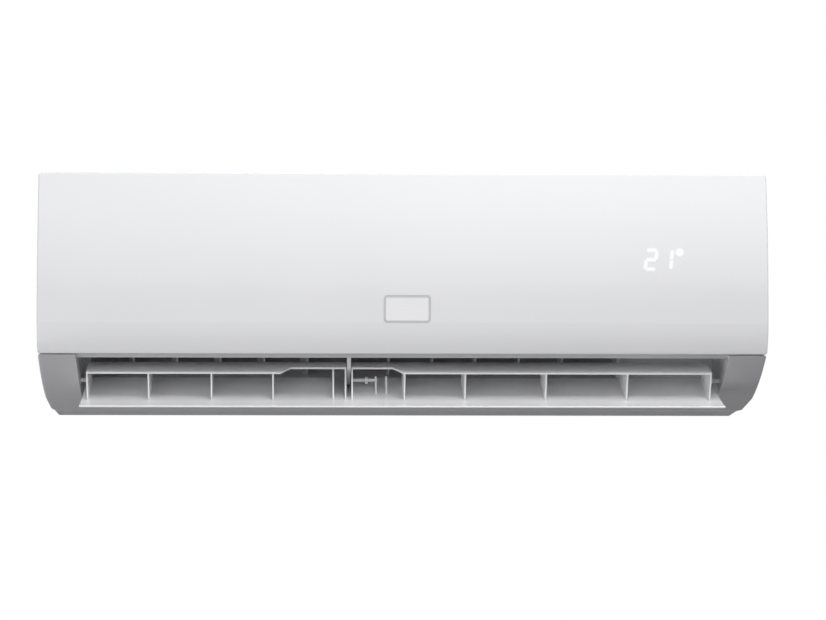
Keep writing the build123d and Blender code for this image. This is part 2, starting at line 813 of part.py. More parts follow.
for side_name, (left, right) in filter_spans.items():
    write_piece(filter_frame(left, right), f"filter_frame_{side_name}")
    write_piece(filter_mesh(left, right), f"filter_mesh_{side_name}")


# ---------------------------------------------------------------- fan, its shafts and bearing
fan_left = chamber_left + fan_end_gap
fan_right = chamber_right - fan_end_gap
fan_length = fan_right - fan_left
fan_pitch = (fan_length - fan_disc_wall) / fan_sections

with BuildSketch() as blade:
    blade_root = (fan_radius - fan_blade_depth, -fan_blade_lean / 2)
    blade_tip = (fan_radius - 0.5, fan_blade_lean / 2)
    with BuildLine():
        ThreePointArc(blade_root, beside(blade_root, blade_tip, 0.5, fan_blade_bow), blade_tip)
        Line(blade_tip, (blade_tip[0] - 0.3, blade_tip[1] + fan_blade_wall))
        ThreePointArc(
            (blade_tip[0] - 0.3, blade_tip[1] + fan_blade_wall),
            beside(blade_root, blade_tip, 0.5, fan_blade_bow + fan_blade_wall),
            (blade_root[0] - 0.3, blade_root[1] + fan_blade_wall),
        )
        Line((blade_root[0] - 0.3, blade_root[1] + fan_blade_wall), blade_root)
    make_face()

with BuildPart() as fan_wheel:
    with BuildSketch(across(fan_right)):
        with Locations(fan_axis), PolarLocations(0, fan_blades):
            add(blade.sketch)
    extrude(amount=fan_length)
    for number in range(fan_sections + 1):
        end_disc = number in (0, fan_sections)
        with BuildSketch(across(fan_left + number * fan_pitch + fan_disc_wall)):
            with Locations(fan_axis):
                Circle(fan_radius)
                if end_disc:
                    Circle(fan_shaft_radius, mode=Mode.SUBTRACT)
                else:
                    Circle(fan_radius - 1.4 * fan_blade_depth, mode=Mode.SUBTRACT)
        extrude(amount=fan_disc_wall)
write_piece(fan_wheel, "fan_wheel")

bearing_left = chamber_left - chamber_wall / 2 - bearing_length / 2
with BuildPart() as fan_stub:
    with BuildSketch(across(fan_left + fan_disc_wall)):
        with Locations(fan_axis):
            Circle(fan_shaft_radius)
    extrude(amount=fan_left + fan_disc_wall - bearing_left + 1)
write_piece(fan_stub, "fan_stub")

with BuildPart() as fan_bearing:
    with BuildSketch(across(bearing_left + bearing_length)):
        with Locations(fan_axis):
            Circle(bearing_radius)
            Circle(fan_shaft_radius + running_gap, mode=Mode.SUBTRACT)
    extrude(amount=bearing_length)
write_piece(fan_bearing, "fan_bearing")

with BuildPart() as bearing_rubber:
    with BuildSketch(across(bearing_left + bearing_length)):
        with Locations(fan_axis):
            Circle(rubber_radius + 2)
            Circle(bearing_radius, mode=Mode.SUBTRACT)
    extrude(amount=bearing_length)
    with BuildSketch(across(chamber_left + gap / 2)):
        with Locations(fan_axis):
            Circle(rubber_radius + 4)
            Circle(rubber_radius, mode=Mode.SUBTRACT)
    extrude(amount=chamber_wall + gap, mode=Mode.SUBTRACT)
write_piece(bearing_rubber, "bearing_rubber")

# ---------------------------------------------------------------- fan motor
fan_motor_right = fan_motor_left + fan_motor_length
with BuildPart() as fan_motor:
    with BuildSketch(across(fan_motor_right)):
        with Locations(fan_axis):
            Circle(fan_motor_radius)
    extrude(amount=fan_motor_length)
    fillet(fan_motor.edges().filter_by(GeomType.CIRCLE), 4)
    with BuildSketch(across(fan_motor_right + fan_motor_boss)):
        with Locations(fan_axis):
            Circle(fan_motor_boss_radius)
    extrude(amount=fan_motor_length + 2 * fan_motor_boss)
    with BuildSketch(across(fan_motor_left + 2 * fan_motor_boss)):
        with Locations(fan_axis):
            Circle(fan_shaft_radius + running_gap)
    extrude(amount=4 * fan_motor_boss, mode=Mode.SUBTRACT)
write_piece(fan_motor, "fan_motor")

with BuildPart() as motor_shaft:
    with BuildSketch(across(fan_motor_left + fan_motor_boss)):
        with Locations(fan_axis):
            Circle(fan_shaft_radius)
    extrude(amount=fan_motor_left + fan_motor_boss - fan_right + fan_disc_wall)
write_piece(motor_shaft, "motor_shaft")

clamp_inner = fan_motor_radius + gap
clamp_outer = clamp_inner + clamp_wall
with BuildPart() as motor_clamp:
    with BuildSketch(across(fan_motor_right - clamp_inset)):
        add(arc_band(fan_axis, clamp_outer, clamp_inner, 0.5, 179.5))
        for side in (-1, 1):
            foot_off = side * (clamp_inner + clamp_foot / 2 + 0.4)
            with Locations((fan_axis[0] + foot_off, fan_axis[1] + clamp_wall / 2 + gap)):
                Rectangle(clamp_foot, clamp_wall)
    extrude(amount=fan_motor_length - 2 * clamp_inset)
write_piece(motor_clamp, "motor_clamp")


# ---------------------------------------------------------------- rear chassis
chassis_half = half_width - wall - gap
back_inner = chassis_back_depth + chassis_back_wall
scroll_top = (back_inner + 3 * scroll_wall, coil_rear[1][1] + 2 * scroll_gap)
scroll_back = polar(fan_axis, fan_radius + scroll_gap, 180)
scroll_turn = polar(fan_axis, fan_radius + 1.5 * scroll_gap, 215)
scroll_throat = (scroll_throat_depth, scroll_throat_height)
scroll_lip = (scroll_lip_depth, scroll_lip_height)
floor_run = (scroll_lip[0] - scroll_throat[0], scroll_lip[1] - scroll_throat[1])
scroll_inner = [scroll_top, scroll_back, scroll_turn, scroll_throat]
scroll_outer = [
    (scroll_top[0] - scroll_wall, scroll_top[1]),
    (scroll_back[0] - scroll_wall, scroll_back[1]),
    polar(fan_axis, fan_radius + 1.5 * scroll_gap + scroll_wall, 215),
    beside(scroll_lip, scroll_throat, 1, scroll_wall),
]
floor_angle = math.degrees(math.atan2(scroll_throat[1] - scroll_lip[1], scroll_lip[0] - scroll_throat[0]))
vane_foot = beside(
    scroll_throat,
    scroll_lip,
    (vane_seat - scroll_throat_depth) / (scroll_lip_depth - scroll_throat_depth),
    0,
)


def floor_point(along, up):
    """A (depth, height) point from the vane's seat: forward along the scroll's floor, and up off it."""
    a = math.radians(floor_angle)
    return (
        vane_foot[0] + along * math.cos(a) + up * math.sin(a),
        vane_foot[1] - along * math.sin(a) + up * math.cos(a),
    )


def chassis_floor(depth):
    """Height of the chassis's underside at a depth."""
    return chassis_edge_height * depth / chassis_edge_depth


def off_floor(x, up):
    """The plane on a vane's pivot, up off the scroll's floor: local X is x, local Y runs rearwards."""
    seat = floor_point(0, up)
    a = math.radians(floor_angle)
    return Plane(origin=place(x, *seat), x_dir=(1, 0, 0), z_dir=(0, -math.sin(a), math.cos(a)))


end_wall = (
    (chassis_back_depth, channel_height),
    (channel_depth + wall, channel_height),
    (partition_front - 8, bottom_break_height + 27),
    (partition_front, pivot_height),
    (partition_front, pan_roof_height - 9),
    (pan_rear_depth - 3, pan_rear_height + 4),
    (pan_rear_depth - 2, pan_rim + 4),
    (unit_depth, pan_rim + 4),
    (unit_depth, chassis_top - 4),
    (chassis_back_depth, chassis_top - 4),
)
vane_outline = [
    floor_point(-vane_rear, vane_foot_gap),
    floor_point(vane_front, vane_foot_gap),
    floor_point(vane_front, 10),
    floor_point(vane_tip, vane_height),
    floor_point(-vane_rear, vane_rear_height),
]
bank_starts = {
    "left": vane_middle - vanes_per_bank * vane_pitch,
    "right": vane_middle + vane_right_offset,
}

with BuildPart() as rear_chassis:
    # back wall with its rim
    with BuildSketch(facing(chassis_back_depth)):
        with Locations((0, channel_height)):
            Rectangle(2 * chassis_half, chassis_top - channel_height, align=(Align.CENTER, Align.MIN))
    extrude(amount=chassis_back_wall)
    with BuildSketch(facing(back_gap)):
        with Locations((0, channel_height)):
            Rectangle(2 * chassis_half, chassis_top - channel_height, align=(Align.CENTER, Align.MIN))
        inner_width = 2 * (chassis_half - wall)
        with Locations((0, 0)):
            Rectangle(inner_width, chassis_top - wall, align=(Align.CENTER, Align.MIN), mode=Mode.SUBTRACT)
    extrude(amount=chassis_back_depth - back_gap + wall / 2)
    # pipe channel along the lower back, and the lower edge
    with BuildSketch(across(chassis_half)):
        with BuildLine():
            Polyline(
                (chassis_back_depth, channel_height),
                (channel_depth, channel_height),
                (channel_depth, chassis_floor(channel_depth) + wall),
                (back_gap, chassis_floor(back_gap) + wall),
                (back_gap, chassis_floor(back_gap)),
                (chassis_edge_depth - gap, chassis_floor(chassis_edge_depth - gap)),
                (chassis_edge_depth - gap, chassis_floor(chassis_edge_depth - gap) + wall),
                (channel_depth + wall, chassis_floor(channel_depth) + 1.2 * wall),
                (channel_depth + wall, channel_height + wall),
                (chassis_back_depth, channel_height + wall),
                close=True,
            )
        make_face()
    extrude(amount=2 * chassis_half)
    # end walls of the fan's chamber
    for face in (chamber_left, chamber_right + chamber_wall):
        with BuildSketch(across(face)):
            with BuildLine():
                Polyline(*end_wall, close=True)
            make_face()
            with Locations(filter_centre):
                Circle(guide_inner - 1.5, mode=Mode.INTERSECT)
        extrude(amount=chamber_wall)
    # the scroll behind and under the fan
    with BuildSketch(across(chamber_right + chamber_wall / 2)):
        with BuildLine():
            Spline(*scroll_inner, tangents=((0, -1), floor_run))
            Line(scroll_throat, scroll_lip)
            Line(scroll_lip, beside(scroll_lip, scroll_throat, 0, scroll_wall))
            Line(beside(scroll_lip, scroll_throat, 0, scroll_wall), scroll_outer[-1])
            Spline(*reversed(scroll_outer), tangents=((-floor_run[0], -floor_run[1]), (0, 1)))
            Line(scroll_outer[0], scroll_inner[0])
        make_face()
    extrude(amount=chamber_right - chamber_left + chamber_wall)
    # a narrow wall that closes the outlet's left rear corner
    with BuildSketch(facing(partition_front - wall)):
        corner_width = outlet_half_width - gap + chamber_left
        corner_height = pan_roof_height - outlet_rear_height
        with Locations((-outlet_half_width + gap, outlet_rear_height)):
            Rectangle(corner_width, corner_height, align=(Align.MIN, Align.MIN))
    extrude(amount=wall)
    # the fixed strut between the two banks of vanes
    with BuildSketch(across(vane_middle + vane_wall / 2)):
        with BuildLine():
            strut_foot = [floor_point(along, -scroll_wall / 2) for along in (-vane_rear, vane_front)]
            Polyline(*strut_foot, *vane_outline[2:], close=True)
        make_face()
    extrude(amount=vane_wall)
    # partition and ceiling between the outlet and the fan motor's room
    with BuildSketch(level(outlet_rear_height)):
        with BuildLine():
            Polyline(
                (chamber_right + chamber_wall / 2, -partition_rear),
                (outlet_half_width - gap, -partition_front + wall + gap),
                (outlet_half_width - gap, -partition_front + 2 * wall + gap),
                (chamber_right + chamber_wall / 2, -partition_rear + wall),
                close=True,
            )
        make_face()
    extrude(amount=pan_roof_height - outlet_rear_height - 1.6 * wall)
    with BuildSketch(across(outlet_half_width - gap)):
        with BuildLine():
            Polyline(
                (partition_rear - wall, pan_roof_height - 3.5),
                (partition_front, pan_roof_height - 1.5),
                (pan_rear_depth - gap, pan_rear_height - 1),
                (pan_rear_depth - gap, pan_rear_height + 1),
                (partition_front, pan_roof_height + 0.5),
                (partition_rear - wall, pan_roof_height - 1.5),
                close=True,
            )
        make_face()
    extrude(amount=outlet_half_width - gap - chamber_right - chamber_wall / 2)
    # saddles that carry the fan motor
    for face in (fan_motor_left + 2 * clamp_inset, fan_motor_right - clamp_inset - wall):
        with BuildSketch(across(face)):
            with BuildLine():
                Polyline(
                    (chassis_back_depth + wall / 2, pan_roof_height - 30),
                    (partition_rear - wall, pan_roof_height - 3),
                    (partition_front, pan_roof_height - 0.5),
                    (fan_depth + clamp_outer + 3, pan_roof_height + 3),
                    (fan_depth + clamp_inner + clamp_foot, fan_height),
                    (chassis_back_depth + wall / 2, fan_height),
                    close=True,
                )
            make_face()
            with Locations(fan_axis):
                Circle(clamp_inner, mode=Mode.SUBTRACT)
        extrude(amount=saddle_wall)
    # holes: shaft, bearing, vane pivots, hooks and pipes
    with BuildSketch(across(chamber_right + chamber_wall + 1)):
        with Locations(fan_axis):
            Circle(fan_shaft_radius + 3)
    extrude(amount=chamber_wall + 2, mode=Mode.SUBTRACT)
    with BuildSketch(across(chamber_left + 1)):
        with Locations(fan_axis):
            Circle(rubber_radius)
    extrude(amount=chamber_wall + 2, mode=Mode.SUBTRACT)
    with BuildSketch(across(chamber_right + chamber_wall + 1)):
        with Locations(gas_start):
            Circle(gas_radius + 2 * gap)
        with Locations(liquid_start):
            Circle(liquid_radius + 2 * gap)
    extrude(amount=chamber_wall + 2, mode=Mode.SUBTRACT)
    for start in bank_starts.values():
        for number in range(vanes_per_bank):
            with BuildSketch(off_floor(start + number * vane_pitch, -2 * scroll_wall)):
                Circle(vane_pin_radius + running_gap)
            extrude(amount=4 * scroll_wall, mode=Mode.SUBTRACT)
    with BuildSketch(facing(chassis_back_depth - 1)):
        for hook_x in hook_positions:
            with Locations((hook_x, plate_high - plate_wall / 2)):
                Rectangle(hook_width + 2, hook_rise)
    extrude(amount=chassis_back_wall + 2, mode=Mode.SUBTRACT)
    with BuildSketch(level(channel_height - 1)):
        with Locations(((liquid_run[0] + gas_run[0]) / 2, -(chassis_back_depth + channel_depth) / 2)):
            Rectangle(gas_run[0] - liquid_run[0] + 4 * gas_radius, channel_depth - chassis_back_depth - 1)
    extrude(amount=wall + 2, mode=Mode.SUBTRACT)
write_piece(rear_chassis, "rear_chassis")


# ---------------------------------------------------------------- upright vanes and their links
pin_reach_up = link_tab_height + link_tab_wall + 2 * link_gap + link_wall


def vane(x, turn):
    """One upright vane with its pivot pin and the pin that the link bar rides on, turned about its pivot."""
    with BuildPart() as built:
        with BuildSketch(across(x + vane_wall / 2)):
            with BuildLine():
                Polyline(*vane_outline, close=True)
            make_face()
        extrude(amount=vane_wall)
        with BuildSketch(off_floor(x, -scroll_wall)):
            Circle(vane_pin_radius)
        extrude(amount=scroll_wall + vane_foot_gap + 2)
        with BuildSketch(off_floor(x, link_tab_height)):
            with Locations((0, -link_reach)):
                Circle(link_tab_width / 2)
            with Locations((0, -(link_reach + vane_front - 2) / 2)):
                Rectangle(link_tab_width, link_reach - vane_front + 2)
        extrude(amount=link_tab_wall)
        with BuildSketch(off_floor(x, link_tab_height)):
            with Locations((0, -link_reach)):
                Circle(link_pin_radius)
        extrude(amount=pin_reach_up - link_tab_height)
    axis = Axis(place(x, *vane_foot), off_floor(x, 0).z_dir)
    built.part = built.part.rotate(axis, turn)
    return built


def link_bar(bank, start, turn):
    """The flat bar that joins one bank's vanes, at the place where its pins stand when turned."""
    a = math.radians(turn)
    reach = link_reach * math.cos(a)
    first = start + link_reach * math.sin(a)
    last = first + (vanes_per_bank - 1) * vane_pitch
    if bank == "left":
        inner, outer, inward = last + link_inner_reach[bank], first - link_overhang, 1
    else:
        inner, outer, inward = first - link_inner_reach[bank], last + link_overhang, -1
    with BuildPart() as built:
        with BuildSketch(off_floor(0, link_tab_height + link_tab_wall + link_gap)):
            with BuildLine():
                Polyline(
                    (outer, -reach - link_width / 2),
                    (inner, -reach - link_width / 2),
                    (inner, -reach + link_width / 2 - link_chamfer),
                    (inner - inward * link_chamfer, -reach + link_width / 2),
                    (outer, -reach + link_width / 2),
                    close=True,
                )
            make_face()
            for number in range(vanes_per_bank):
                with Locations((first + number * vane_pitch, -reach)):
                    Circle(link_pin_radius + running_gap, mode=Mode.SUBTRACT)
        extrude(amount=link_wall)
    return built


bank_turns = {"left": vane_left_turn, "right": 0.0}
for bank, start in bank_starts.items():
    for number in range(vanes_per_bank):
        write_piece(vane(start + number * vane_pitch, bank_turns[bank]), f"vane_{bank}_{number + 1}")
    write_piece(link_bar(bank, start, bank_turns[bank]), f"vane_link_{bank}")


# ---------------------------------------------------------------- swinging louver
def louver_turned(points):
    """Points of the closed louver, turned to the open pose that is modelled."""
    return [turned(point, pivot, louver_open) for point in points]


edge_share = louver_edge_gap / math.radians(outlet_sweep) / outlet_radius
blade_shares = (edge_share, 0.5, 1 - edge_share)
blade_outer = louver_turned([outlet_point(share, 0) for share in blade_shares])
blade_inner = louver_turned([outlet_point(share, louver_wall) for share in blade_shares])

with BuildPart() as flap_blade:
    with BuildSketch(across(louver_length / 2)):
        with BuildLine():
            ThreePointArc(*blade_outer)
            Line(blade_outer[2], blade_inner[2])
            ThreePointArc(*reversed(blade_inner))
            Line(blade_inner[0], blade_outer[0])
        make_face()
    extrude(amount=louver_length)
    fillet(flap_blade.edges().filter_by(Axis.X), louver_edge_radius)
    # the latch pin's guide and end stop
    for x in (latch_guide_x, latch_guide_x + latch_guide_wall + 2 + latch_travel):
        with BuildSketch(across(x + latch_guide_wall)):
            foot_shares = (0.52, 0.62, 0.72)
            guide_foot = louver_turned([outlet_point(share, louver_wall / 2) for share in foot_shares])
            with BuildLine():
                ThreePointArc(*guide_foot)
                Line(guide_foot[2], polar(pivot, hanger_eye_radius, 180 - louver_open))
                Line(polar(pivot, hanger_eye_radius, 180 - louver_open), polar(pivot, hanger_eye_radius, 60))
                Line(polar(pivot, hanger_eye_radius, 60), polar(pivot, hanger_eye_radius, -10))
                Line(polar(pivot, hanger_eye_radius, -10), guide_foot[0])
            make_face()
            if x == latch_guide_x:
                with Locations(pivot):
                    Circle(latch_pin_radius + running_gap, mode=Mode.SUBTRACT)
        extrude(amount=latch_guide_wall)
write_piece(flap_blade, "flap_blade")


def inner_point(share, below):
    """A point of the open inner blade a share of the way from its front edge, below its upper face."""
    off = below - 4 * share * (1 - share) * inner_blade_bow
    return turned(beside(inner_blade_front, inner_blade_rear, share, off), pivot, louver_open)


rib_base = louver_wall + gap
rib_outline = louver_turned(
    [
        outlet_point(rib_front_share, rib_base),
        outlet_point((rib_front_share + rib_rear_share) / 2, rib_base),
        outlet_point(rib_rear_share, rib_base),
    ]
)
ear_left_x = hanger_x - hanger_width / 2 - ear_gap - rib_wall / 2
ear_right_x = hanger_x + hanger_width / 2 + ear_gap + rib_wall / 2
rib_places = (
    inner_blade_left + rib_wall / 2,
    *rib_positions,
    ear_left_x,
    ear_right_x,
    inner_blade_right - rib_wall / 2,
)

with BuildPart() as flap_inner_frame:
    # the upper blade, set back in the middle and split for the hanger
    with BuildSketch(across(inner_blade_right)):
        with BuildLine():
            upper = [inner_point(share, 0) for share in (0, 0.5, 1)]
            lower = [inner_point(share, inner_blade_wall) for share in (0, 0.5, 1)]
            ThreePointArc(*upper)
            Line(upper[2], lower[2])
            ThreePointArc(*reversed(lower))
            Line(lower[0], upper[0])
        make_face()
    extrude(amount=inner_blade_right - inner_blade_left)
    recess_back = upper[0][0] - recess_depth
    recess_share = recess_depth / (upper[0][0] - upper[2][0])
    with BuildSketch(level(0)):
        with BuildLine():
            Polyline(
                (recess_left - recess_slope, -unit_depth),
                (recess_left - recess_slope, -recess_back - recess_depth),
                (recess_left, -recess_back),
                (recess_right, -recess_back),
                (recess_right + recess_slope, -recess_back - recess_depth),
                (recess_right + recess_slope, -unit_depth),
                close=True,
            )
        make_face()
    extrude(amount=unit_height, mode=Mode.SUBTRACT)
    with BuildSketch(level(0)):
        with Locations((hanger_x, 0)):
            Rectangle(hanger_width + 2 * ear_gap, 2 * unit_depth)
    extrude(amount=unit_height, mode=Mode.SUBTRACT)
    # ribs down to the main blade
    for x in rib_places:
        front_share = recess_share if recess_left < x < recess_right else 0
        top_shares = (1, (1 + front_share) / 2, front_share)
        rib_top = [inner_point(share, inner_blade_wall / 2) for share in top_shares]
        with BuildSketch(across(x + rib_wall / 2)):
            with BuildLine():
                ThreePointArc(*rib_outline)
                Line(rib_outline[2], rib_top[0])
                ThreePointArc(*rib_top)
                Line(rib_top[2], rib_outline[0])
            make_face()
            if x in (ear_left_x, ear_right_x):
                with Locations(pivot):
                    Circle(hanger_eye_radius)
                    Circle(latch_pin_radius + running_gap, mode=Mode.SUBTRACT)
        extrude(amount=rib_wall)
    # bosses at the two ends: a pin at the left, a socket for the motor's shaft at the right
    with BuildSketch(across(inner_blade_left)):
        with Locations(pivot):
            Circle(boss_radius)
    extrude(amount=boss_length / 2)
    with BuildSketch(across(inner_blade_left)):
        with Locations(pivot):
            Circle(louver_pin_radius)
    extrude(amount=outlet_half_width + inner_blade_left + cheek_wall + 1)
    with BuildSketch(across(inner_blade_right + boss_length)):
        with Locations(pivot):
            Circle(boss_radius)
    extrude(amount=boss_length)
    with BuildSketch(across(inner_blade_right + boss_length)):
        with Locations(pivot):
            Circle(louver_pin_radius)
    extrude(amount=boss_length + rib_wall, mode=Mode.SUBTRACT)
write_piece(flap_inner_frame, "flap_inner_frame")


def pan_under(depth):
    """Height of the drain pan's underside in front of its bend, at a depth."""
    share = (depth - pan_roof_depth) / (pan_lip_depth - pan_roof_depth)
    return pan_roof_height + share * (pan_lip_height - pan_roof_height)


with BuildPart() as flap_hanger:
    with BuildSketch(across(hanger_x + hanger_width / 2)):
        with Locations(pivot):
            Circle(hanger_eye_radius)
        with BuildLine():
            Polyline(
                polar(pivot, hanger_eye_radius, -55),
                hanger_nose,
                (pan_lip_depth - gap, pan_lip_height - 2 * wall),
                (pan_lip_depth - gap, pan_lip_height - gap),
                (hanger_root, pan_under(hanger_root) - gap),
                polar(pivot, hanger_eye_radius, 110),
                close=True,
            )
        make_face()
        with Locations(pivot):
            Circle(latch_pin_radius + running_gap, mode=Mode.SUBTRACT)
    extrude(amount=hanger_width)
write_piece(flap_hanger, "flap_hanger")

latch_left = ear_left_x - rib_wall / 2
latch_right = latch_guide_x + latch_guide_wall + 0.5
knob_left = latch_guide_x - gap - latch_travel - latch_knob_wall
with BuildPart() as flap_latch_pin:
    with BuildSketch(across(latch_right)):
        with Locations(pivot):
            Circle(latch_pin_radius)
    extrude(amount=latch_right - latch_left)
    with BuildSketch(across(knob_left + latch_knob_wall)):
        with Locations(pivot):
            Circle(latch_knob_radius)
    extrude(amount=latch_knob_wall)
write_piece(flap_latch_pin, "flap_latch_pin")

with BuildPart() as flap_bush:
    with BuildSketch(across(-outlet_half_width + gap)):
        with Locations(pivot):
            Circle(bush_radius)
            Circle(louver_pin_radius + running_gap, mode=Mode.SUBTRACT)
    extrude(amount=bush_length)
write_piece(flap_bush, "flap_bush")

motor_face = outlet_half_width + cheek_wall + gap
outlet_middle = outlet_point(0.5, 0)
inward = (pivot[0] + outlet_centre[0] - outlet_middle[0], pivot[1] + outlet_centre[1] - outlet_middle[1])
can_centre = beside(pivot, inward, motor_shaft_offset / outlet_radius, 0)
with BuildPart() as flap_motor:
    with BuildSketch(across(motor_face + motor_can_length)):
        with Locations(can_centre):
            Circle(motor_can_radius)
    extrude(amount=motor_can_length)
    with BuildSketch(across(motor_face + motor_ear_wall)):
        ear_angle = math.degrees(math.atan2(can_centre[1] - pivot[1], can_centre[0] - pivot[0])) - 90
        with Locations(can_centre):
            with Locations(Rotation(0, 0, ear_angle)):
                SlotCenterToCenter(motor_ear_spacing, 2 * motor_ear_radius)
    extrude(amount=motor_ear_wall)
    with BuildSketch(across(motor_face + 8)):
        with Locations(pivot):
            Circle(louver_pin_radius + running_gap)
    extrude(amount=10, mode=Mode.SUBTRACT)
write_piece(flap_motor, "flap_motor")

with BuildPart() as flap_motor_shaft:
    with BuildSketch(across(motor_face + 7)):
        with Locations(pivot):
            Circle(louver_pin_radius)
    extrude(amount=motor_face + 7 - inner_blade_right + rib_wall)
write_piece(flap_motor_shaft, "flap_motor_shaft")


# ---------------------------------------------------------------- cooling coil
coil_left = chamber_left + coil_end_gap
coil_right = chamber_right - coil_end_gap


def slab_plane(ends, off):
    """The plane along a slab's outer face, off from its middle: local X runs along the unit."""
    middle = beside(*ends, 0.5, -off)
    along = ((ends[1][0] - ends[0][0]), (ends[1][1] - ends[0][1]))
    return Plane(
        origin=place((coil_left + coil_right) / 2, *middle),
        x_dir=(1, 0, 0),
        z_dir=(0, -along[1], -along[0]),
    )


def coil_slab(ends):
    """One straight slab of the finned coil, with the gaps between its packs of fins."""
    long = math.dist(*ends)
    with BuildPart() as slab:
        with BuildSketch(slab_plane(ends, -coil_wall / 2)):
            Rectangle(coil_right - coil_left, long)
        extrude(amount=coil_wall)
        with BuildSketch(slab_plane(ends, coil_wall / 2)):
            with GridLocations((coil_right - coil_left) / coil_grooves, 0, coil_grooves - 1, 1):
                Rectangle(coil_groove_width, long)
        extrude(amount=-coil_groove_depth, mode=Mode.SUBTRACT)
    return slab


coil_slabs = {"coil_front": coil_front, "coil_upper": coil_upper, "coil_rear": coil_rear}
for label, ends in coil_slabs.items():
    write_piece(coil_slab(ends), label)

plate_faces = {
    "coil_plate_left": coil_left - gap,
    "coil_plate_right": coil_right + gap + coil_plate_wall,
}
for label, face in plate_faces.items():
    with BuildPart() as coil_plate:
        with BuildSketch(across(face)):
            for ends in coil_slabs.values():
                lean = math.degrees(math.atan2(ends[1][1] - ends[0][1], ends[1][0] - ends[0][0]))
                with Locations(beside(*ends, 0.5, 0)):
                    with Locations(Rotation(0, 0, lean)):
                        Rectangle(math.dist(*ends) + 2 * coil_margin, coil_wall + coil_margin)
        extrude(amount=coil_plate_wall)
    write_piece(coil_plate, label)

# ---------------------------------------------------------------- drain pan
pan_half = outlet_half_width - gap
with BuildPart() as drain_pan:
    with BuildSketch(across(pan_half)):
        with BuildLine():
            Polyline(
                (pan_rear_depth, pan_rear_height),
                (pan_roof_depth, pan_roof_height),
                (pan_lip_depth, pan_lip_height),
                (pan_lip_depth, pan_lip_height + wall),
                (pan_front_depth, pan_lip_height + 1.4 * wall),
                (pan_front_depth, pan_rim),
                (pan_rear_depth, pan_rim),
                close=True,
            )
        make_face()
    extrude(amount=2 * pan_half)
    with BuildSketch(across(pan_half - wall)):
        with BuildLine():
            Polyline(
                (pan_rear_depth + pan_wall, pan_rear_height + pan_wall),
                (pan_roof_depth, pan_roof_height + pan_wall),
                (pan_front_depth - pan_wall, pan_roof_height + pan_wall - 1),
                (pan_front_depth - pan_wall, unit_height),
                (pan_rear_depth + pan_wall, unit_height),
                close=True,
            )
        make_face()
    extrude(amount=2 * (pan_half - wall), mode=Mode.SUBTRACT)
write_piece(drain_pan, "drain_pan")

# ---------------------------------------------------------------- control box
with BuildPart() as control_box:
    with BuildSketch(facing(back_inner + gap)):
        with Locations(((box_left + box_right) / 2, (box_low + box_high) / 2)):
            RectangleRounded(box_right - box_left, box_high - box_low, 3)
    extrude(amount=box_front - back_inner - gap)
    with BuildSketch(facing(back_inner + gap + box_wall)):
        with Locations(((box_left + box_right) / 2, (box_low + box_high) / 2)):
            RectangleRounded(box_right - box_left - 2 * box_wall, box_high - box_low - 2 * box_wall, 1)
    extrude(amount=box_front, mode=Mode.SUBTRACT)
write_piece(control_box, "control_box")

with BuildPart() as control_box_cover:
    with BuildSketch(facing(box_front + gap)):
        with Locations(((box_left + box_right) / 2, (box_low + box_high) / 2)):
            RectangleRounded(box_right - box_left, box_high - box_low, 3)
    extrude(amount=cover_wall)
    with BuildSketch(facing(box_front - 2 * cover_wall)):
        with Locations(((box_left + box_right) / 2, (box_low + box_high) / 2)):
            inset = 2 * (box_wall + gap)
            box_width = box_right - box_left
            box_tall = box_high - box_low
            RectangleRounded(box_width - inset, box_tall - inset, 1)
            RectangleRounded(box_width - 2 * inset, box_tall - 2 * inset, 1, mode=Mode.SUBTRACT)
    extrude(amount=2 * cover_wall + gap)
write_piece(control_box_cover, "control_box_cover")

board_depth = back_inner + gap + box_wall + board_inset
board_width = box_right - box_left - 2 * (box_wall + gap)
board_height = box_high - box_low - 2 * (box_wall + gap)
board_parts = (
    (-30, 12, 26, 22, 30),
    (12, 14, 20, 24, 18),
    (36, 10, 14, 30, 24),
    (-6, -18, 12, 12, 26),
    (-34, -18, 20, 10, 12),
    (20, -18, 26, 12, 10),
)
with BuildPart() as main_board:
    with BuildSketch(facing(board_depth)):
        with Locations(((box_left + box_right) / 2, (box_low + box_high) / 2)):
            Rectangle(board_width, board_height)
    extrude(amount=board_wall)
    with BuildSketch(facing(board_depth - board_inset + gap)):
        with Locations(((box_left + box_right) / 2, (box_low + box_high) / 2)):
            with GridLocations(board_width - 12, board_height - 12, 2, 2):
                Circle(3)
    extrude(amount=board_inset)
    for x, up, width, tall, deep in board_parts:
        with BuildSketch(facing(board_depth)):
            with Locations(((box_left + box_right) / 2 + x, (box_low + box_high) / 2 + up)):
                Rectangle(width, tall)
        extrude(amount=deep)
write_piece(main_board, "main_board")

terminal_back = box_front + 2 * gap + cover_wall
with BuildPart() as terminal_block:
    with BuildSketch(facing(terminal_back)):
        with Locations((terminal_x, terminal_low + terminal_height / 2)):
            Rectangle(terminal_width, terminal_height)
    extrude(amount=terminal_depth)
    with BuildSketch(facing(terminal_back + terminal_depth)):
        with Locations((terminal_x, terminal_low + terminal_height / 2)):
            with GridLocations(terminal_width / 4, 0, 4, 1):
                Rectangle(terminal_width / 4 - 3, terminal_height * 0.55)
    extrude(amount=-terminal_depth / 2, mode=Mode.SUBTRACT)
write_piece(terminal_block, "terminal_block")

# ---------------------------------------------------------------- display and button behind the panel
display_seat = on_front(display_x, display_height, casing_front_setback - gap)
with BuildPart() as display_housing:
    with BuildSketch(display_seat):
        RectangleRounded(display_width, display_tall, 3)
    extrude(amount=display_deep)
    with BuildSketch(display_seat.offset(display_wall)):
        RectangleRounded(display_width - 2 * display_wall, display_tall - 2 * display_wall, 2)
    extrude(amount=display_deep, mode=Mode.SUBTRACT)
write_piece(display_housing, "display_housing")

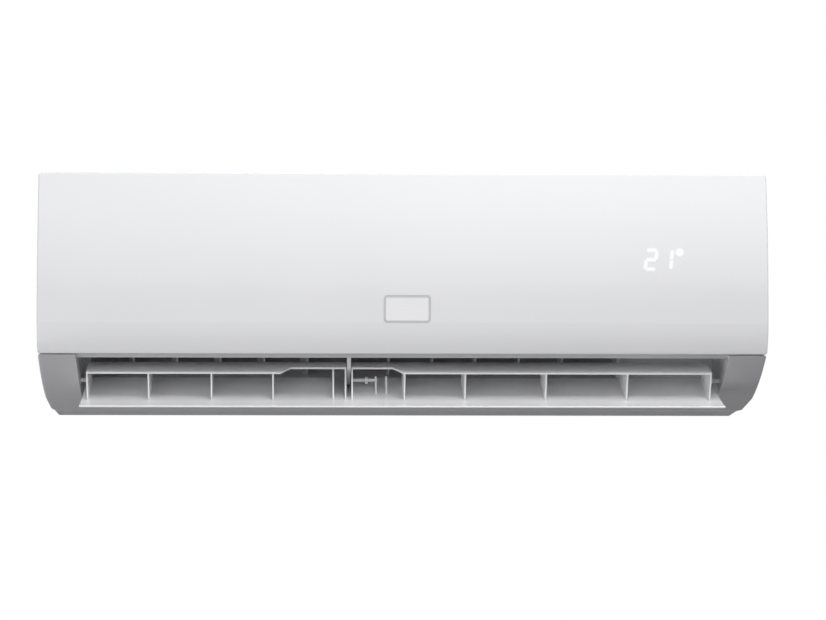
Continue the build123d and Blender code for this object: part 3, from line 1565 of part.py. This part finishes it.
with BuildPart() as display_board:
    with BuildSketch(display_seat.offset(display_wall)):
        Rectangle(display_width - 4 * display_wall, display_tall - 4 * display_wall)
    extrude(amount=board_wall)
write_piece(display_board, "display_board")

lens_width = display_width - 2 * display_wall - 2 * gap
lens_tall = display_tall - 2 * display_wall - 2 * gap
with BuildPart() as display_lens:
    with BuildSketch(display_seat.offset(display_deep - display_wall)):
        RectangleRounded(lens_width, lens_tall, 2)
    extrude(amount=display_wall)
    with BuildSketch(display_seat.offset(display_wall + board_wall)):
        with GridLocations(lens_width - 4, lens_tall - 4, 2, 2):
            Circle(1.2)
    extrude(amount=display_deep - display_wall - board_wall - display_wall)
write_piece(display_lens, "display_lens")

button_seat = on_front(button_x, button_height, casing_front_setback)
button_back = button_seat.offset(-wall - 2 * button_cap)
with BuildPart() as emergency_button:
    with BuildSketch(button_back):
        Circle(button_radius)
    extrude(amount=wall + 2 * button_cap - button_sink)
    with BuildSketch(button_back):
        Circle(button_radius + 1.2)
    extrude(amount=0.7 * button_cap)
write_piece(emergency_button, "emergency_button")

switch_front = button_back.offset(-button_travel - gap)
with BuildPart() as button_switch:
    with BuildSketch(switch_front):
        Rectangle(14, 14)
    extrude(amount=-6)
    with BuildSketch(switch_front.offset(-6)):
        Rectangle(44, 22)
    extrude(amount=-board_wall)
    with BuildSketch(switch_front.offset(-6)):
        with GridLocations(34, 0, 2, 1):
            Circle(3)
    extrude(amount=6 + button_travel + 2 * button_cap)
write_piece(button_switch, "button_switch")


# ---------------------------------------------------------------- refrigerant pipes
def pipe(points, radii, radius):
    """A bent pipe of one outer radius along a route of (x, depth, height) corners."""
    with BuildPart() as built:
        with BuildLine():
            route = FilletPolyline(*[place(*point) for point in points], radius=radii)
        with BuildSketch(Plane(origin=route @ 0, z_dir=route % 0)):
            Circle(radius)
        sweep()
    return built


gas_route = (
    (coil_right + 2 * gap + coil_plate_wall, *gas_start),
    (gas_run[0], *gas_start),
    (gas_run[0], gas_run[1], 180),
    gas_run,
    (gas_end, gas_run[1], gas_run[2]),
)
liquid_route = (
    (coil_right + 2 * gap + coil_plate_wall, *liquid_start),
    (liquid_run[0], *liquid_start),
    (liquid_run[0], 120, 176),
    (liquid_run[0], 40, 176),
    (liquid_run[0], liquid_run[1], 150),
    liquid_run,
    (liquid_end, liquid_run[1], liquid_run[2]),
)
write_piece(pipe(gas_route, [12, 20, 20], gas_radius), "gas_pipe")
write_piece(pipe(liquid_route, [5, 16, 20, 12, 9], liquid_radius), "liquid_pipe")


def flare_union(end_x, run, bore, radius):
    """The threaded flare union on a pipe's end, with its hexagonal body."""
    with BuildPart() as union:
        with BuildSketch(across(end_x - gap)):
            with Locations((run[1], run[2])):
                RegularPolygon(radius + union_flat, 6, major_radius=False)
                Circle(bore - pipe_wall, mode=Mode.SUBTRACT)
        extrude(amount=nut_length)
        with BuildSketch(across(end_x - gap - nut_length)):
            with Locations((run[1], run[2])):
                Circle(radius)
                Circle(bore - pipe_wall, mode=Mode.SUBTRACT)
        extrude(amount=thread_length)
    return union


write_piece(flare_union(gas_end, gas_run, gas_radius, gas_union_radius), "gas_union")
write_piece(flare_union(liquid_end, liquid_run, liquid_radius, liquid_union_radius), "liquid_union")

with BuildPart() as pipe_clip:
    with BuildSketch(across(-60)):
        with Locations((gas_run[1], gas_run[2])):
            Circle(gas_radius + gap + wall)
        with Locations((liquid_run[1], liquid_run[2])):
            Circle(liquid_radius + gap + wall)
        with BuildLine():
            Polyline(
                (gas_run[1] - 3, gas_run[2]),
                (channel_depth - gap, gas_run[2]),
                (channel_depth - gap, liquid_run[2]),
                (liquid_run[1] - 3, liquid_run[2]),
                close=True,
            )
        make_face()
        with Locations((gas_run[1], gas_run[2])):
            Circle(gas_radius + gap / 2, mode=Mode.SUBTRACT)
        with Locations((liquid_run[1], liquid_run[2])):
            Circle(liquid_radius + gap / 2, mode=Mode.SUBTRACT)
    extrude(amount=14)
write_piece(pipe_clip, "pipe_clip")
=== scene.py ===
"""Looks of a wall-hung indoor unit of a split air conditioner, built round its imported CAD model.

Lengths are in metres, and heights on the panel are measured from the unit's lowest edge.
"""

import json
import math

import bmesh
import bpy
from mathutils import Matrix, Vector


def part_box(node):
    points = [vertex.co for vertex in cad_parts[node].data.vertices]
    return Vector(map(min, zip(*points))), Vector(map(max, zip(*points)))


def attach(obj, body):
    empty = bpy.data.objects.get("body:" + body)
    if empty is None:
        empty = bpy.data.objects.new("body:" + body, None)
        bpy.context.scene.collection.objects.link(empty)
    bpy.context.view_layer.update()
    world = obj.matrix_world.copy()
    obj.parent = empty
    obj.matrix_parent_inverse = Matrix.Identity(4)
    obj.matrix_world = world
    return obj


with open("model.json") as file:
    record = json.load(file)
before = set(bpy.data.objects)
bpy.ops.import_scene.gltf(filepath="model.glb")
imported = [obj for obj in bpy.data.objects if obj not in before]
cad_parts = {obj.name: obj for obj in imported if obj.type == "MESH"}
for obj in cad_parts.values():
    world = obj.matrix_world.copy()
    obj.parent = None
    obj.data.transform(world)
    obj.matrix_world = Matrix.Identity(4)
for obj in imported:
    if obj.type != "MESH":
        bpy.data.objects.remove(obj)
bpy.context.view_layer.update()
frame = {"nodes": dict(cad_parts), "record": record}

# ---------------------------------------------------------------- the panel's face
BASE_Z = -0.170  # where the unit's lowest edge lies in the frame
BELLY_HEIGHT = 0.112  # height of the panel's foremost line
TOP_SETBACK = 0.014  # how far the panel's top edge lies behind that line
panel_low, panel_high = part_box("front_panel")
BELLY = -panel_low.y  # depth of the foremost line
CROWN_RISE = panel_high.z - BASE_Z - BELLY_HEIGHT
CROWN_RADIUS = (TOP_SETBACK**2 + CROWN_RISE**2) / (2 * TOP_SETBACK)  # bow above the foremost line

# ---------------------------------------------------------------- node trees
NOISE_ROUGHNESS = 0.55
MIX_COLOURS = (6, 7)  # a mix node's inputs for its two colours
MIX_RESULT = 2  # and its output for a colour
WHITE = (1.0, 1.0, 1.0)


class Tree:
    """A node tree, with short calls for what the finishes, the floor and the sky share."""

    def __init__(self, owner, output):
        owner.use_nodes = True
        self.nodes = owner.node_tree.nodes
        self.links = owner.node_tree.links
        self.nodes.clear()
        self.output = self.add(output)

    def fill(self, socket, source):
        """Gives an input a number or a colour, or links another node's output to it."""
        if isinstance(source, bpy.types.NodeSocket):
            self.links.new(source, socket)
        elif socket.type == "RGBA":
            socket.default_value = (*source, 1.0)
        else:
            socket.default_value = source

    def add(self, kind, *sources, **inputs):
        """A new node, with its first inputs filled in order and others by name."""
        node = self.nodes.new(kind)
        for socket, source in zip(node.inputs, sources):
            self.fill(socket, source)
        for name, source in inputs.items():
            self.fill(node.inputs[name.replace("_", " ")], source)
        return node

    def show(self, shader):
        self.fill(self.output.inputs["Surface"], shader)

    def upright(self, place):
        """The height, or Z, of a place or direction."""
        return self.add("ShaderNodeSeparateXYZ", place).outputs["Z"]

    def math(self, operation, first, second):
        node = self.add("ShaderNodeMath", first, second)
        node.operation = operation
        return node.outputs[0]

    def spread(self, source, low, high, to_low=0.0, to_high=1.0, ease="LINEAR"):
        """What lies from low to high, laid out from to_low to to_high and held beyond."""
        node = self.add("ShaderNodeMapRange", source, low, high, to_low, to_high)
        node.interpolation_type = ease
        return node.outputs["Result"]

    def mix(self, share, first, second):
        """A colour between two colours."""
        node = self.add("ShaderNodeMix", share)
        node.data_type = "RGBA"
        for index, colour in zip(MIX_COLOURS, (first, second)):
            self.fill(node.inputs[index], colour)
        return node.outputs[MIX_RESULT]

    def blend(self, share, first, second):
        """A shader between two shaders."""
        return self.add("ShaderNodeMixShader", share, first, second).outputs[0]

    def background_share(self):
        """1 for rays that see the background itself: the camera's, off gloss or through glass."""
        rays = self.add("ShaderNodeLightPath").outputs
        passed_on = self.math("MAXIMUM", rays["Is Glossy Ray"], rays["Is Transmission Ray"])
        return self.math("MAXIMUM", rays["Is Camera Ray"], passed_on)


class Finish(Tree):
    """A material round one principled shader, with textures laid out in metres."""

    def __init__(self, name):
        self.material = bpy.data.materials.new(name)
        super().__init__(self.material, "ShaderNodeOutputMaterial")
        self.shader = self.add("ShaderNodeBsdfPrincipled")
        self.place = self.add("ShaderNodeTexCoord").outputs["Object"]
        self.show(self.shader.outputs[0])

    def stretched(self, x, y, z):
        """The texture's place, scaled along each axis."""
        return self.add("ShaderNodeMapping", Vector=self.place, Scale=(x, y, z)).outputs["Vector"]

    def noise(self, scale, detail, place=None):
        node = self.add("ShaderNodeTexNoise", Vector=place or self.place, Scale=scale, Detail=detail)
        self.fill(node.inputs["Roughness"], NOISE_ROUGHNESS)
        return node.outputs["Fac"]

    def cells(self, scale, feature="F1"):
        """Distance from the middle of random cells, or from their edges."""
        node = self.add("ShaderNodeTexVoronoi", Vector=self.place, Scale=scale)
        node.feature = feature
        return node.outputs["Distance"]

    def waves(self, scale, axis, distortion=0.0):
        node = self.add("ShaderNodeTexWave", self.place, scale, distortion)
        node.bands_direction = axis
        return node.outputs["Fac"]

    def bump(self, height, depth):
        """Raises the surface by a depth where the height is 1."""
        raised = self.add("ShaderNodeBump", Height=height, Distance=depth)
        self.set(Normal=raised.outputs["Normal"])

    def set(self, **inputs):
        """Fills the shader's inputs by name."""
        for name, source in inputs.items():
            self.fill(self.shader.inputs[name.replace("_", " ")], source)


def toned(colour, share):
    """A colour made darker or lighter in proportion."""
    return tuple(share * part for part in colour)


# ---------------------------------------------------------------- finishes
PEEL = 0.00002  # height of the orange peel in high gloss

# softer turn at the panel's foremost line: the Z where each lean begins, where it ends, and its reach
SOFT_TURN = (
    (BASE_Z + 0.084, BASE_Z + 0.160, 0.00266),
    (BASE_Z + 0.100, BASE_Z + 0.235, 0.00270),
)


def moulded(name, colour, roughness, grain=2200.0, grain_depth=0.00004, **values):
    """Moulded plastic: faint cloudiness, a fine spark-eroded grain and handling marks in its gloss."""
    finish = Finish(name)
    clouds = finish.spread(finish.noise(scale=9.0, detail=5.0), low=0.3, high=0.7)
    marks = finish.noise(scale=38.0, detail=6.0)
    dull, bright = roughness + 0.06, roughness - 0.05
    finish.set(
        Base_Color=finish.mix(clouds, toned(colour, 0.94), colour),
        Roughness=finish.spread(marks, low=0.3, high=0.75, to_low=bright, to_high=dull),
        **values,
    )
    finish.bump(finish.noise(scale=grain, detail=3.0), depth=grain_depth)
    return finish.material


def gloss_white(name, colour, turns=()):
    """High-gloss white plastic with a slight orange peel, and softer turns where they are wanted."""
    finish = Finish(name)
    clouds = finish.spread(finish.noise(scale=3.0, detail=3.0), low=0.3, high=0.7)
    haze = finish.noise(scale=24.0, detail=6.0)
    finish.set(
        Base_Color=finish.mix(clouds, toned(colour, 0.97), colour),
        Roughness=finish.spread(haze, low=0.3, high=0.8, to_low=0.14, to_high=0.24),
        IOR=1.49,
        Coat_Weight=0.25,
        Coat_Roughness=0.06,
    )
    relief = finish.spread(finish.noise(scale=260.0, detail=2.0), low=0.0, high=1.0, to_high=PEEL)
    for low, high, reach in turns:
        lean = finish.spread(finish.upright(finish.place), low, high, to_high=reach, ease="SMOOTHSTEP")
        relief = finish.math("ADD", relief, lean)
    finish.bump(relief, depth=1.0)
    return finish.material


def galvanised(name, colour):
    """Zinc-coated sheet: spangle cells of slightly different grey and gloss, with a rolled grain."""
    finish = Finish(name)
    spangle = finish.cells(scale=160.0)
    grain = finish.noise(scale=900.0, detail=3.0, place=finish.stretched(x=0.08, y=1.0, z=1.0))
    streaks = finish.spread(grain, low=0.2, high=0.8, to_low=0.6)
    share = finish.math("MULTIPLY", finish.spread(spangle, low=0.0, high=0.9), streaks)
    finish.set(
        Base_Color=finish.mix(share, colour, toned(colour, 1.18)),
        Roughness=finish.spread(spangle, low=0.0, high=0.9, to_low=0.34, to_high=0.5),
        Metallic=1.0,
    )
    finish.bump(grain, depth=0.00002)
    return finish.material


def turned_metal(name, colour, tarnish, roughness=0.28):
    """Drawn or turned metal with darker, duller patches of tarnish."""
    finish = Finish(name)
    patches = finish.spread(finish.noise(scale=45.0, detail=6.0), low=0.42, high=0.72)
    haze = finish.noise(scale=80.0, detail=5.0)
    finish.set(
        Base_Color=finish.mix(patches, colour, tarnish),
        Roughness=finish.spread(haze, low=0.3, high=0.8, to_low=roughness, to_high=roughness + 0.2),
        Metallic=1.0,
    )
    tool_marks = finish.noise(scale=1400.0, detail=2.0, place=finish.stretched(x=1.0, y=0.15, z=0.15))
    finish.bump(tool_marks, depth=0.00001)
    return finish.material


def coated_fins():
    """Packed aluminium fins with a faint blue coating: fine upright lines with a few bent ones, and
    painted shade in the gaps between them.
    """
    finish = Finish("coated_fins")
    lines = finish.waves(scale=118.0, axis="X", distortion=0.4)
    bends = finish.noise(scale=60.0, detail=4.0)
    upright = finish.spread(bends, low=0.55, high=0.7, to_low=1.0, to_high=0.5)
    share = finish.math("MULTIPLY", lines, upright)
    # the near-black gap colour is painted shade between the packed fins
    gap_shade, metal = (0.05, 0.065, 0.08), (0.60, 0.66, 0.72)
    finish.set(Base_Color=finish.mix(share, gap_shade, metal), Metallic=0.85, Roughness=0.38)
    finish.bump(lines, depth=0.0004)
    return finish.material


def woven_net():
    """Woven nylon net: two sets of fine threads over gaps painted dark as shade."""
    finish = Finish("woven_net")
    across, up = (finish.waves(scale=170.0, axis=axis) for axis in "XZ")
    threads = finish.math("MAXIMUM", across, up)
    # the dark gap colour is painted shade behind the threads
    gap_shade, nylon = (0.04, 0.05, 0.06), (0.36, 0.41, 0.47)
    share = finish.spread(threads, low=0.55, high=0.9)
    finish.set(Base_Color=finish.mix(share, gap_shade, nylon), Roughness=0.7)
    finish.bump(threads, depth=0.0002)
    return finish.material


def circuit_board():
    """Solder-masked circuit board with copper tracks under the mask and tinned pads."""
    finish = Finish("circuit_board")
    edges = finish.cells(scale=140.0, feature="DISTANCE_TO_EDGE")
    tracks = finish.spread(edges, low=0.02, high=0.06)
    pads = finish.spread(finish.cells(scale=420.0), low=0.12, high=0.2)
    masked_copper, mask, tin = (0.03, 0.20, 0.09), (0.012, 0.10, 0.04), (0.55, 0.56, 0.55)
    green = finish.mix(tracks, masked_copper, mask)
    finish.set(Base_Color=finish.mix(pads, tin, green), Roughness=0.32)
    finish.bump(tracks, depth=0.00005)
    return finish.material


def satin_plate(name, colour):
    """Silver-lacquered plastic with a brushed grain along its length."""
    finish = Finish(name)
    grain = finish.noise(scale=5000.0, detail=2.0, place=finish.stretched(x=0.02, y=1.0, z=1.0))
    lines = finish.spread(grain, low=0.3, high=0.7)
    finish.set(
        Base_Color=finish.mix(lines, toned(colour, 0.94), colour),
        Roughness=finish.spread(grain, low=0.3, high=0.7, to_low=0.28, to_high=0.4),
        Metallic=0.35,
    )
    finish.bump(grain, depth=0.00001)
    return finish.material


def glow(name, base, colour, strength):
    """A lit mark, a little uneven like light through plastic."""
    finish = Finish(name)
    uneven = finish.noise(scale=160.0, detail=2.0)
    share = finish.spread(uneven, low=0.3, high=0.7, to_low=0.92)
    finish.set(
        Base_Color=base,
        Roughness=0.4,
        Emission_Color=finish.mix(share, toned(colour, 0.85), colour),
        Emission_Strength=strength,
    )
    return finish.material


FINISHES = {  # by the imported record's material slot
    "gloss_white_panel": gloss_white("gloss_white", (0.82, 0.823, 0.828), SOFT_TURN),
    "white_casing": moulded("satin_white", (0.84, 0.842, 0.85), roughness=0.42),
    "chassis_plastic": moulded(
        "chassis_grey", (0.62, 0.624, 0.635), roughness=0.62, Specular_IOR_Level=0.1
    ),
    "dark_plastic": moulded("dark_moulding", (0.035, 0.036, 0.040), roughness=0.46),
    "vane_plastic": moulded("vane_grey", (0.60, 0.605, 0.615), roughness=0.44),
    "filter_plastic": moulded("filter_frame_blue", (0.33, 0.39, 0.46), roughness=0.5),
    "grey_button": moulded("button_grey", (0.42, 0.43, 0.45), roughness=0.4),
    "acetal": moulded("waxy_white", (0.72, 0.71, 0.66), roughness=0.36, Subsurface_Weight=0.1),
    "black_rubber": moulded(
        "rubber_black", (0.018, 0.018, 0.019), roughness=0.72, grain=900.0, grain_depth=0.0001
    ),
    "motor_case": moulded(
        "resin_case", (0.60, 0.59, 0.56), roughness=0.48, grain=700.0, grain_depth=0.00008
    ),
    "smoked_lens": moulded(
        "smoked_diffuser", (0.05, 0.052, 0.055), roughness=0.24, grain=400.0, grain_depth=0.00001
    ),
    "zinc_steel": galvanised("zinc_sheet", (0.55, 0.57, 0.59)),
    "bright_steel": turned_metal(
        "ground_steel", (0.66, 0.67, 0.69), tarnish=(0.50, 0.50, 0.51), roughness=0.22
    ),
    "brass_shaft": turned_metal("turned_brass", (0.72, 0.53, 0.26), tarnish=(0.48, 0.33, 0.15)),
    "copper_tube": turned_metal("drawn_copper", (0.73, 0.38, 0.24), tarnish=(0.42, 0.19, 0.11)),
    "fin_aluminium": coated_fins(),
    "filter_net": woven_net(),
    "circuit_board": circuit_board(),
}

NODE_FINISHES = {  # for these nodes, in place of their slot's finish
    # the front frame takes a darker copy of the casing's satin white: painted shade for its cheeks,
    # which face down under the panel
    "front_frame": moulded(
        "casing_white_painted_shade", (0.69, 0.692, 0.702), roughness=0.60, Specular_IOR_Level=0.08
    ),
    # the louver's blade and inner frame take lighter copies of the panel's and the casing's whites:
    # painted light on their faces in shade inside the outlet
    "flap_blade": gloss_white("louver_white_painted_light", (0.92, 0.922, 0.928)),
    "flap_inner_frame": moulded("louver_satin_painted_light", (0.90, 0.902, 0.91), roughness=0.38),
    "drain_pan": moulded("pan_white", (0.82, 0.823, 0.83), roughness=0.46),
}

slot_of = {row["node"]: row["material_slot"] for row in frame["record"]["subparts"]}
for name, node in frame["nodes"].items():
    node.data.materials.clear()
    node.data.materials.append(NODE_FINISHES.get(name, FINISHES[slot_of[name]]))

# ---------------------------------------------------------------- thin pieces on the panel
ROUND_STEPS = 48  # points round a circle or a rounded rectangle


def on_panel(x, height, proud):
    """A point that stands proud of the panel's face, in the frame's coordinates."""
    bow = CROWN_RADIUS - math.sqrt(CROWN_RADIUS**2 - (height - BELLY_HEIGHT) ** 2)
    return Vector((x, bow - BELLY - proud, BASE_Z + height))


def traced(builder, outline, proud):
    """Vertices along an outline of (x, height) points, proud of the panel's face."""
    return [builder.verts.new(on_panel(x, height, proud)) for x, height in outline]


def band(builder, first, second):
    """Faces that join two loops of as many vertices."""
    for i in range(len(first)):
        j = (i + 1) % len(first)
        builder.faces.new((first[i], second[i], second[j], first[j]))


def panel_piece(name, builder, finish):
    """Makes what a mesh builder holds a piece that rides on the panel."""
    mesh = bpy.data.meshes.new(name)
    builder.to_mesh(mesh)
    builder.free()
    mesh.materials.append(finish)
    piece = bpy.data.objects.new(name, mesh)
    bpy.context.scene.collection.objects.link(piece)
    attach(piece, "panel")


def panel_patch(name, outline, proud, sunk, finish):
    """A thin solid patch that follows the panel's bow, inside an outline."""
    builder = bmesh.new()
    front = traced(builder, outline, proud)
    back = traced(builder, outline, -sunk)
    builder.faces.new(front)
    builder.faces.new(back[::-1])
    band(builder, front, back)
    bmesh.ops.recalc_face_normals(builder, faces=builder.faces)
    bmesh.ops.triangulate(builder, faces=builder.faces)
    panel_piece(name, builder, finish)


def panel_ring(name, outer, inner, proud, sunk, finish):
    """A thin raised ring that follows the panel's bow, between two outlines of as many points."""
    builder = bmesh.new()
    corners = ((outer, proud), (inner, proud), (inner, -sunk), (outer, -sunk))
    loops = [traced(builder, outline, level) for outline, level in corners]
    for first, second in zip(loops, loops[1:] + loops[:1]):
        band(builder, first, second)
    bmesh.ops.recalc_face_normals(builder, faces=builder.faces)
    panel_piece(name, builder, finish)


def rounded(centre, half_width, half_height, corner):
    """Points of a rounded rectangle, or of a circle where the corner is as large as the halves."""
    points = []
    for step in range(ROUND_STEPS):
        angle = 2 * math.pi * (step + 0.5) / ROUND_STEPS
        across, up = math.cos(angle), math.sin(angle)
        points.append((
            centre[0] + math.copysign(half_width - corner, across) + corner * across,
            centre[1] + math.copysign(half_height - corner, up) + corner * up,
        ))
    return points


def circle(centre, radius):
    return rounded(centre, radius, radius, radius)


# ---------------------------------------------------------------- lit display
DIGIT_LOW, DIGIT_HIGH = 0.1694, 0.1922  # heights of the digits' edges
DIGIT_WIDTH = 0.0108  # from the middle of a left bar to the middle of a right one
TENS_LEFT, ONES_LEFT = 0.2612, 0.2781  # x of each digit's left bars
SLANT = 0.10  # sideways lean for each unit of height
STROKE = 0.0023
SHOULDER = 0.65  # a bar has its full width from here on, in strokes from where two bars meet
TIP = 0.20  # and its point lies here
HALO = 0.0013  # how far the soft light round a lit bar reaches
HALO_SHOULDER = 0.40  # share of that reach by which the light's shoulders lie further out
DEGREE_AT = (0.2988, 0.1888)
DEGREE_OUTER, DEGREE_INNER = 0.0036, 0.0007
LIT_PROUD, HALO_PROUD = 0.00012, 0.00006
LIT_SUNK = 0.0003
LIGHT = (0.95, 1.0, 1.0)
LIT = glow("lit_segments", (0.52, 0.54, 0.55), LIGHT, strength=0.48)
SPREAD_LIGHT = glow("spread_light", (0.64, 0.645, 0.65), LIGHT, strength=0.25)


def slanted(x, height):
    return (x + SLANT * (height - DIGIT_LOW), height)


def bar_outline(start, end, spare):
    """Outline of a bar with pointed ends, wider and longer all round by a spare edge."""
    length = math.dist(start, end)
    along = [(b - a) / length for a, b in zip(start, end)]
    side = (-along[1], along[0])
    half = STROKE / 2 + spare
    shoulder = SHOULDER * STROKE - HALO_SHOULDER * spare
    tip = TIP * STROKE - spare
    outline = []
    for base, way in ((start, 1), (end, -1)):
        for forward, aside in ((shoulder, half), (tip, 0.0), (shoulder, -half)):
            point = [base[k] + way * (forward * along[k] + aside * side[k]) for k in (0, 1)]
            outline.append(slanted(*point))
    return outline


def segment(name, start, end):
    """One lit bar of a seven-bar digit, over the wider patch of light round it."""
    panel_patch(name, bar_outline(start, end, 0.0), LIT_PROUD, LIT_SUNK, LIT)
    halo = bar_outline(start, end, HALO)
    panel_patch(f"{name}_halo", halo, HALO_PROUD, LIT_SUNK, SPREAD_LIGHT)


def digit(name, left, bars):
    """A seven-bar digit, its bars named a to g as on a clock display."""
    right = left + DIGIT_WIDTH
    low, high = DIGIT_LOW + STROKE / 2, DIGIT_HIGH - STROKE / 2
    middle = (low + high) / 2
    spans = {
        "a": ((left, high), (right, high)),
        "b": ((right, middle), (right, high)),
        "c": ((right, low), (right, middle)),
        "d": ((left, low), (right, low)),
        "e": ((left, low), (left, middle)),
        "f": ((left, middle), (left, high)),
        "g": ((left, middle), (right, middle)),
    }
    for bar in bars:
        segment(f"{name}_{bar}", *spans[bar])


digit("digit_tens", TENS_LEFT, "abged")
digit("digit_ones", ONES_LEFT, "bc")
degree_edge, degree_hole = circle(DEGREE_AT, DEGREE_OUTER), circle(DEGREE_AT, DEGREE_INNER)
degree_halo = circle(DEGREE_AT, DEGREE_OUTER + HALO)
panel_ring("digit_degree", degree_edge, degree_hole, LIT_PROUD, LIT_SUNK, LIT)
panel_patch("digit_degree_halo", degree_halo, HALO_PROUD, LIT_SUNK, SPREAD_LIGHT)

# ---------------------------------------------------------------- blank badge in its shallow recess
BADGE_AT = (0.004, 0.127)
BADGE_HALF_WIDTH, BADGE_HALF_HEIGHT = 0.0252, 0.0147
BADGE_CORNER = 0.0038
BADGE_RIM = 0.0023  # width of the darker rim
BADGE_FACE_PROUD, BADGE_RIM_PROUD = -0.00008, 0.00010  # the plate lies just under the panel's face
BADGE_SUNK = 0.00052

badge_edge = rounded(BADGE_AT, BADGE_HALF_WIDTH, BADGE_HALF_HEIGHT, BADGE_CORNER)
badge_face = rounded(
    BADGE_AT, BADGE_HALF_WIDTH - BADGE_RIM, BADGE_HALF_HEIGHT - BADGE_RIM, BADGE_CORNER - BADGE_RIM
)
plate_silver = satin_plate("badge_silver", (0.78, 0.78, 0.79))
rim_silver = satin_plate("rim_silver", (0.53, 0.53, 0.535))
panel_patch("badge_plate", badge_face, BADGE_FACE_PROUD, BADGE_SUNK, plate_silver)
panel_ring("badge_rim", badge_edge, badge_face, BADGE_RIM_PROUD, BADGE_SUNK, rim_silver)

# ---------------------------------------------------------------- floor
FLOOR_Z = -2.4
FLOOR_RADIUS, FLOOR_SIDES = 5.0, 96
FADE_FROM, FADE_TO = 1.5, 4.8  # the floor thins out between these distances from its middle
FLOOR_GREY = (0.82, 0.82, 0.82)
FLOOR_GLOW = 0.35  # lifts the floor towards white where it is seen
BOUNCE_GREY = (0.25, 0.25, 0.25)  # the floor's grey for light that bounces off it


def pale_floor():
    """Near white where it is seen, darker for bounced light, and clear at its edge."""
    finish = Finish("pale_floor")
    finish.set(Base_Color=FLOOR_GREY, Roughness=0.9)
    lift = finish.add("ShaderNodeEmission", WHITE, FLOOR_GLOW)
    lifted = finish.add("ShaderNodeAddShader", finish.shader.outputs[0], lift.outputs[0])
    bounced = finish.add("ShaderNodeBsdfDiffuse", BOUNCE_GREY)
    clear = finish.add("ShaderNodeBsdfTransparent")
    distance = finish.add("ShaderNodeVectorMath", finish.place)
    distance.operation = "LENGTH"
    floor_shader = finish.blend(finish.background_share(), bounced.outputs[0], lifted.outputs[0])
    fade = finish.spread(distance.outputs["Value"], FADE_FROM, FADE_TO)
    finish.show(finish.blend(fade, floor_shader, clear.outputs[0]))
    return finish.material


def lay_floor():
    mesh = bpy.data.meshes.new("floor")
    builder = bmesh.new()
    bmesh.ops.create_circle(builder, cap_ends=True, radius=FLOOR_RADIUS, segments=FLOOR_SIDES)
    builder.to_mesh(mesh)
    builder.free()
    mesh.materials.append(pale_floor())
    floor = bpy.data.objects.new("floor", mesh)
    floor.location = (0.0, 0.0, FLOOR_Z)
    bpy.context.scene.collection.objects.link(floor)


lay_floor()

# ---------------------------------------------------------------- sky
SKY_STOPS = (  # from straight down, 0, to straight up, 1
    (0.40, (0.175, 0.172, 0.19)),
    (0.54, (0.38, 0.38, 0.39)),
    (0.80, (0.50, 0.50, 0.51)),
)


def studio_sky():
    """Soft light from all sides, weaker towards the ground, and plain white where it is seen."""
    world = bpy.data.worlds.new("studio")
    bpy.context.scene.world = world
    sky = Tree(world, "ShaderNodeOutputWorld")
    direction = sky.add("ShaderNodeTexCoord").outputs["Generated"]
    dome = sky.add("ShaderNodeValToRGB", sky.spread(sky.upright(direction), low=-1.0, high=1.0))
    stops = dome.color_ramp.elements
    while len(stops) < len(SKY_STOPS):
        stops.new(0.5)  # between the ramp's own two
    for stop, (position, colour) in zip(stops, SKY_STOPS):
        stop.position = position
        stop.color = (*colour, 1.0)
    lit = sky.add("ShaderNodeBackground", Color=dome.outputs["Color"], Strength=1.0)
    seen = sky.add("ShaderNodeBackground", Color=WHITE, Strength=1.0)
    sky.show(sky.blend(sky.background_share(), lit.outputs[0], seen.outputs[0]))


studio_sky()


# ---------------------------------------------------------------- lamps
def softbox(name, place, target, size, power, mirrored=True):
    """A rectangular studio lamp; one that isn't mirrored leaves no reflection on glossy pieces."""
    light = bpy.data.lights.new(name, "AREA")
    light.shape = "RECTANGLE"
    light.size, light.size_y = size
    light.energy = power
    lamp = bpy.data.objects.new(name, light)
    lamp.location = place
    lamp.rotation_euler = (Vector(target) - Vector(place)).to_track_quat("-Z", "Y").to_euler()
    lamp.visible_glossy = mirrored
    bpy.context.scene.collection.objects.link(lamp)


softbox("key", (0.32, -1.10, 1.20), (0.08, -0.1, 0.0), size=(1.1, 0.8), power=17.6, mirrored=False)
softbox("front_band", (0.2, -3.3, 0.95), (0.0, -0.2, 0.0), size=(4.0, 1.4), power=11.5)
softbox(
    "level_fill", (-0.2, -2.6, -0.25), (0.0, -0.15, -0.1), size=(2.0, 0.5), power=0.8, mirrored=False
)
softbox("left_fill", (-1.9, -1.1, -0.75), (-0.3, -0.1, -0.12), size=(0.8, 0.8), power=5.5)
softbox("low_fill", (-1.0, -1.4, -0.45), (-0.35, -0.15, -0.12), size=(0.9, 0.7), power=2.8)
softbox("back_fill", (0.6, 2.4, 1.6), (0.0, 0.0, 0.0), size=(2.0, 1.6), power=26.0)

# ---------------------------------------------------------------- camera
CAMERA_AT = (-0.1116, -2.4357, -0.0227)
YAW, ROLL = 0.0144, 0.0023  # in radians
LENS, SENSOR_WIDTH = 90.45, 36.0  # in millimetres, as lenses are named
SHIFT_X, SHIFT_Y = 0.1005, -0.0242  # in shares of the picture's width

camera_data = bpy.data.cameras.new("camera")
camera_data.lens = LENS
camera_data.sensor_width = SENSOR_WIDTH
camera_data.shift_x = SHIFT_X
camera_data.shift_y = SHIFT_Y
camera = bpy.data.objects.new("camera", camera_data)
ahead = Vector((math.sin(YAW), math.cos(YAW), 0.0)).to_track_quat("-Z", "Y")
camera.rotation_mode = "QUATERNION"
camera.rotation_quaternion = ahead @ Matrix.Rotation(ROLL, 4, "Z").to_quaternion()
camera.location = CAMERA_AT
bpy.context.scene.collection.objects.link(camera)
bpy.context.scene.camera = camera
bpy.context.scene.view_settings.view_transform = "Standard"
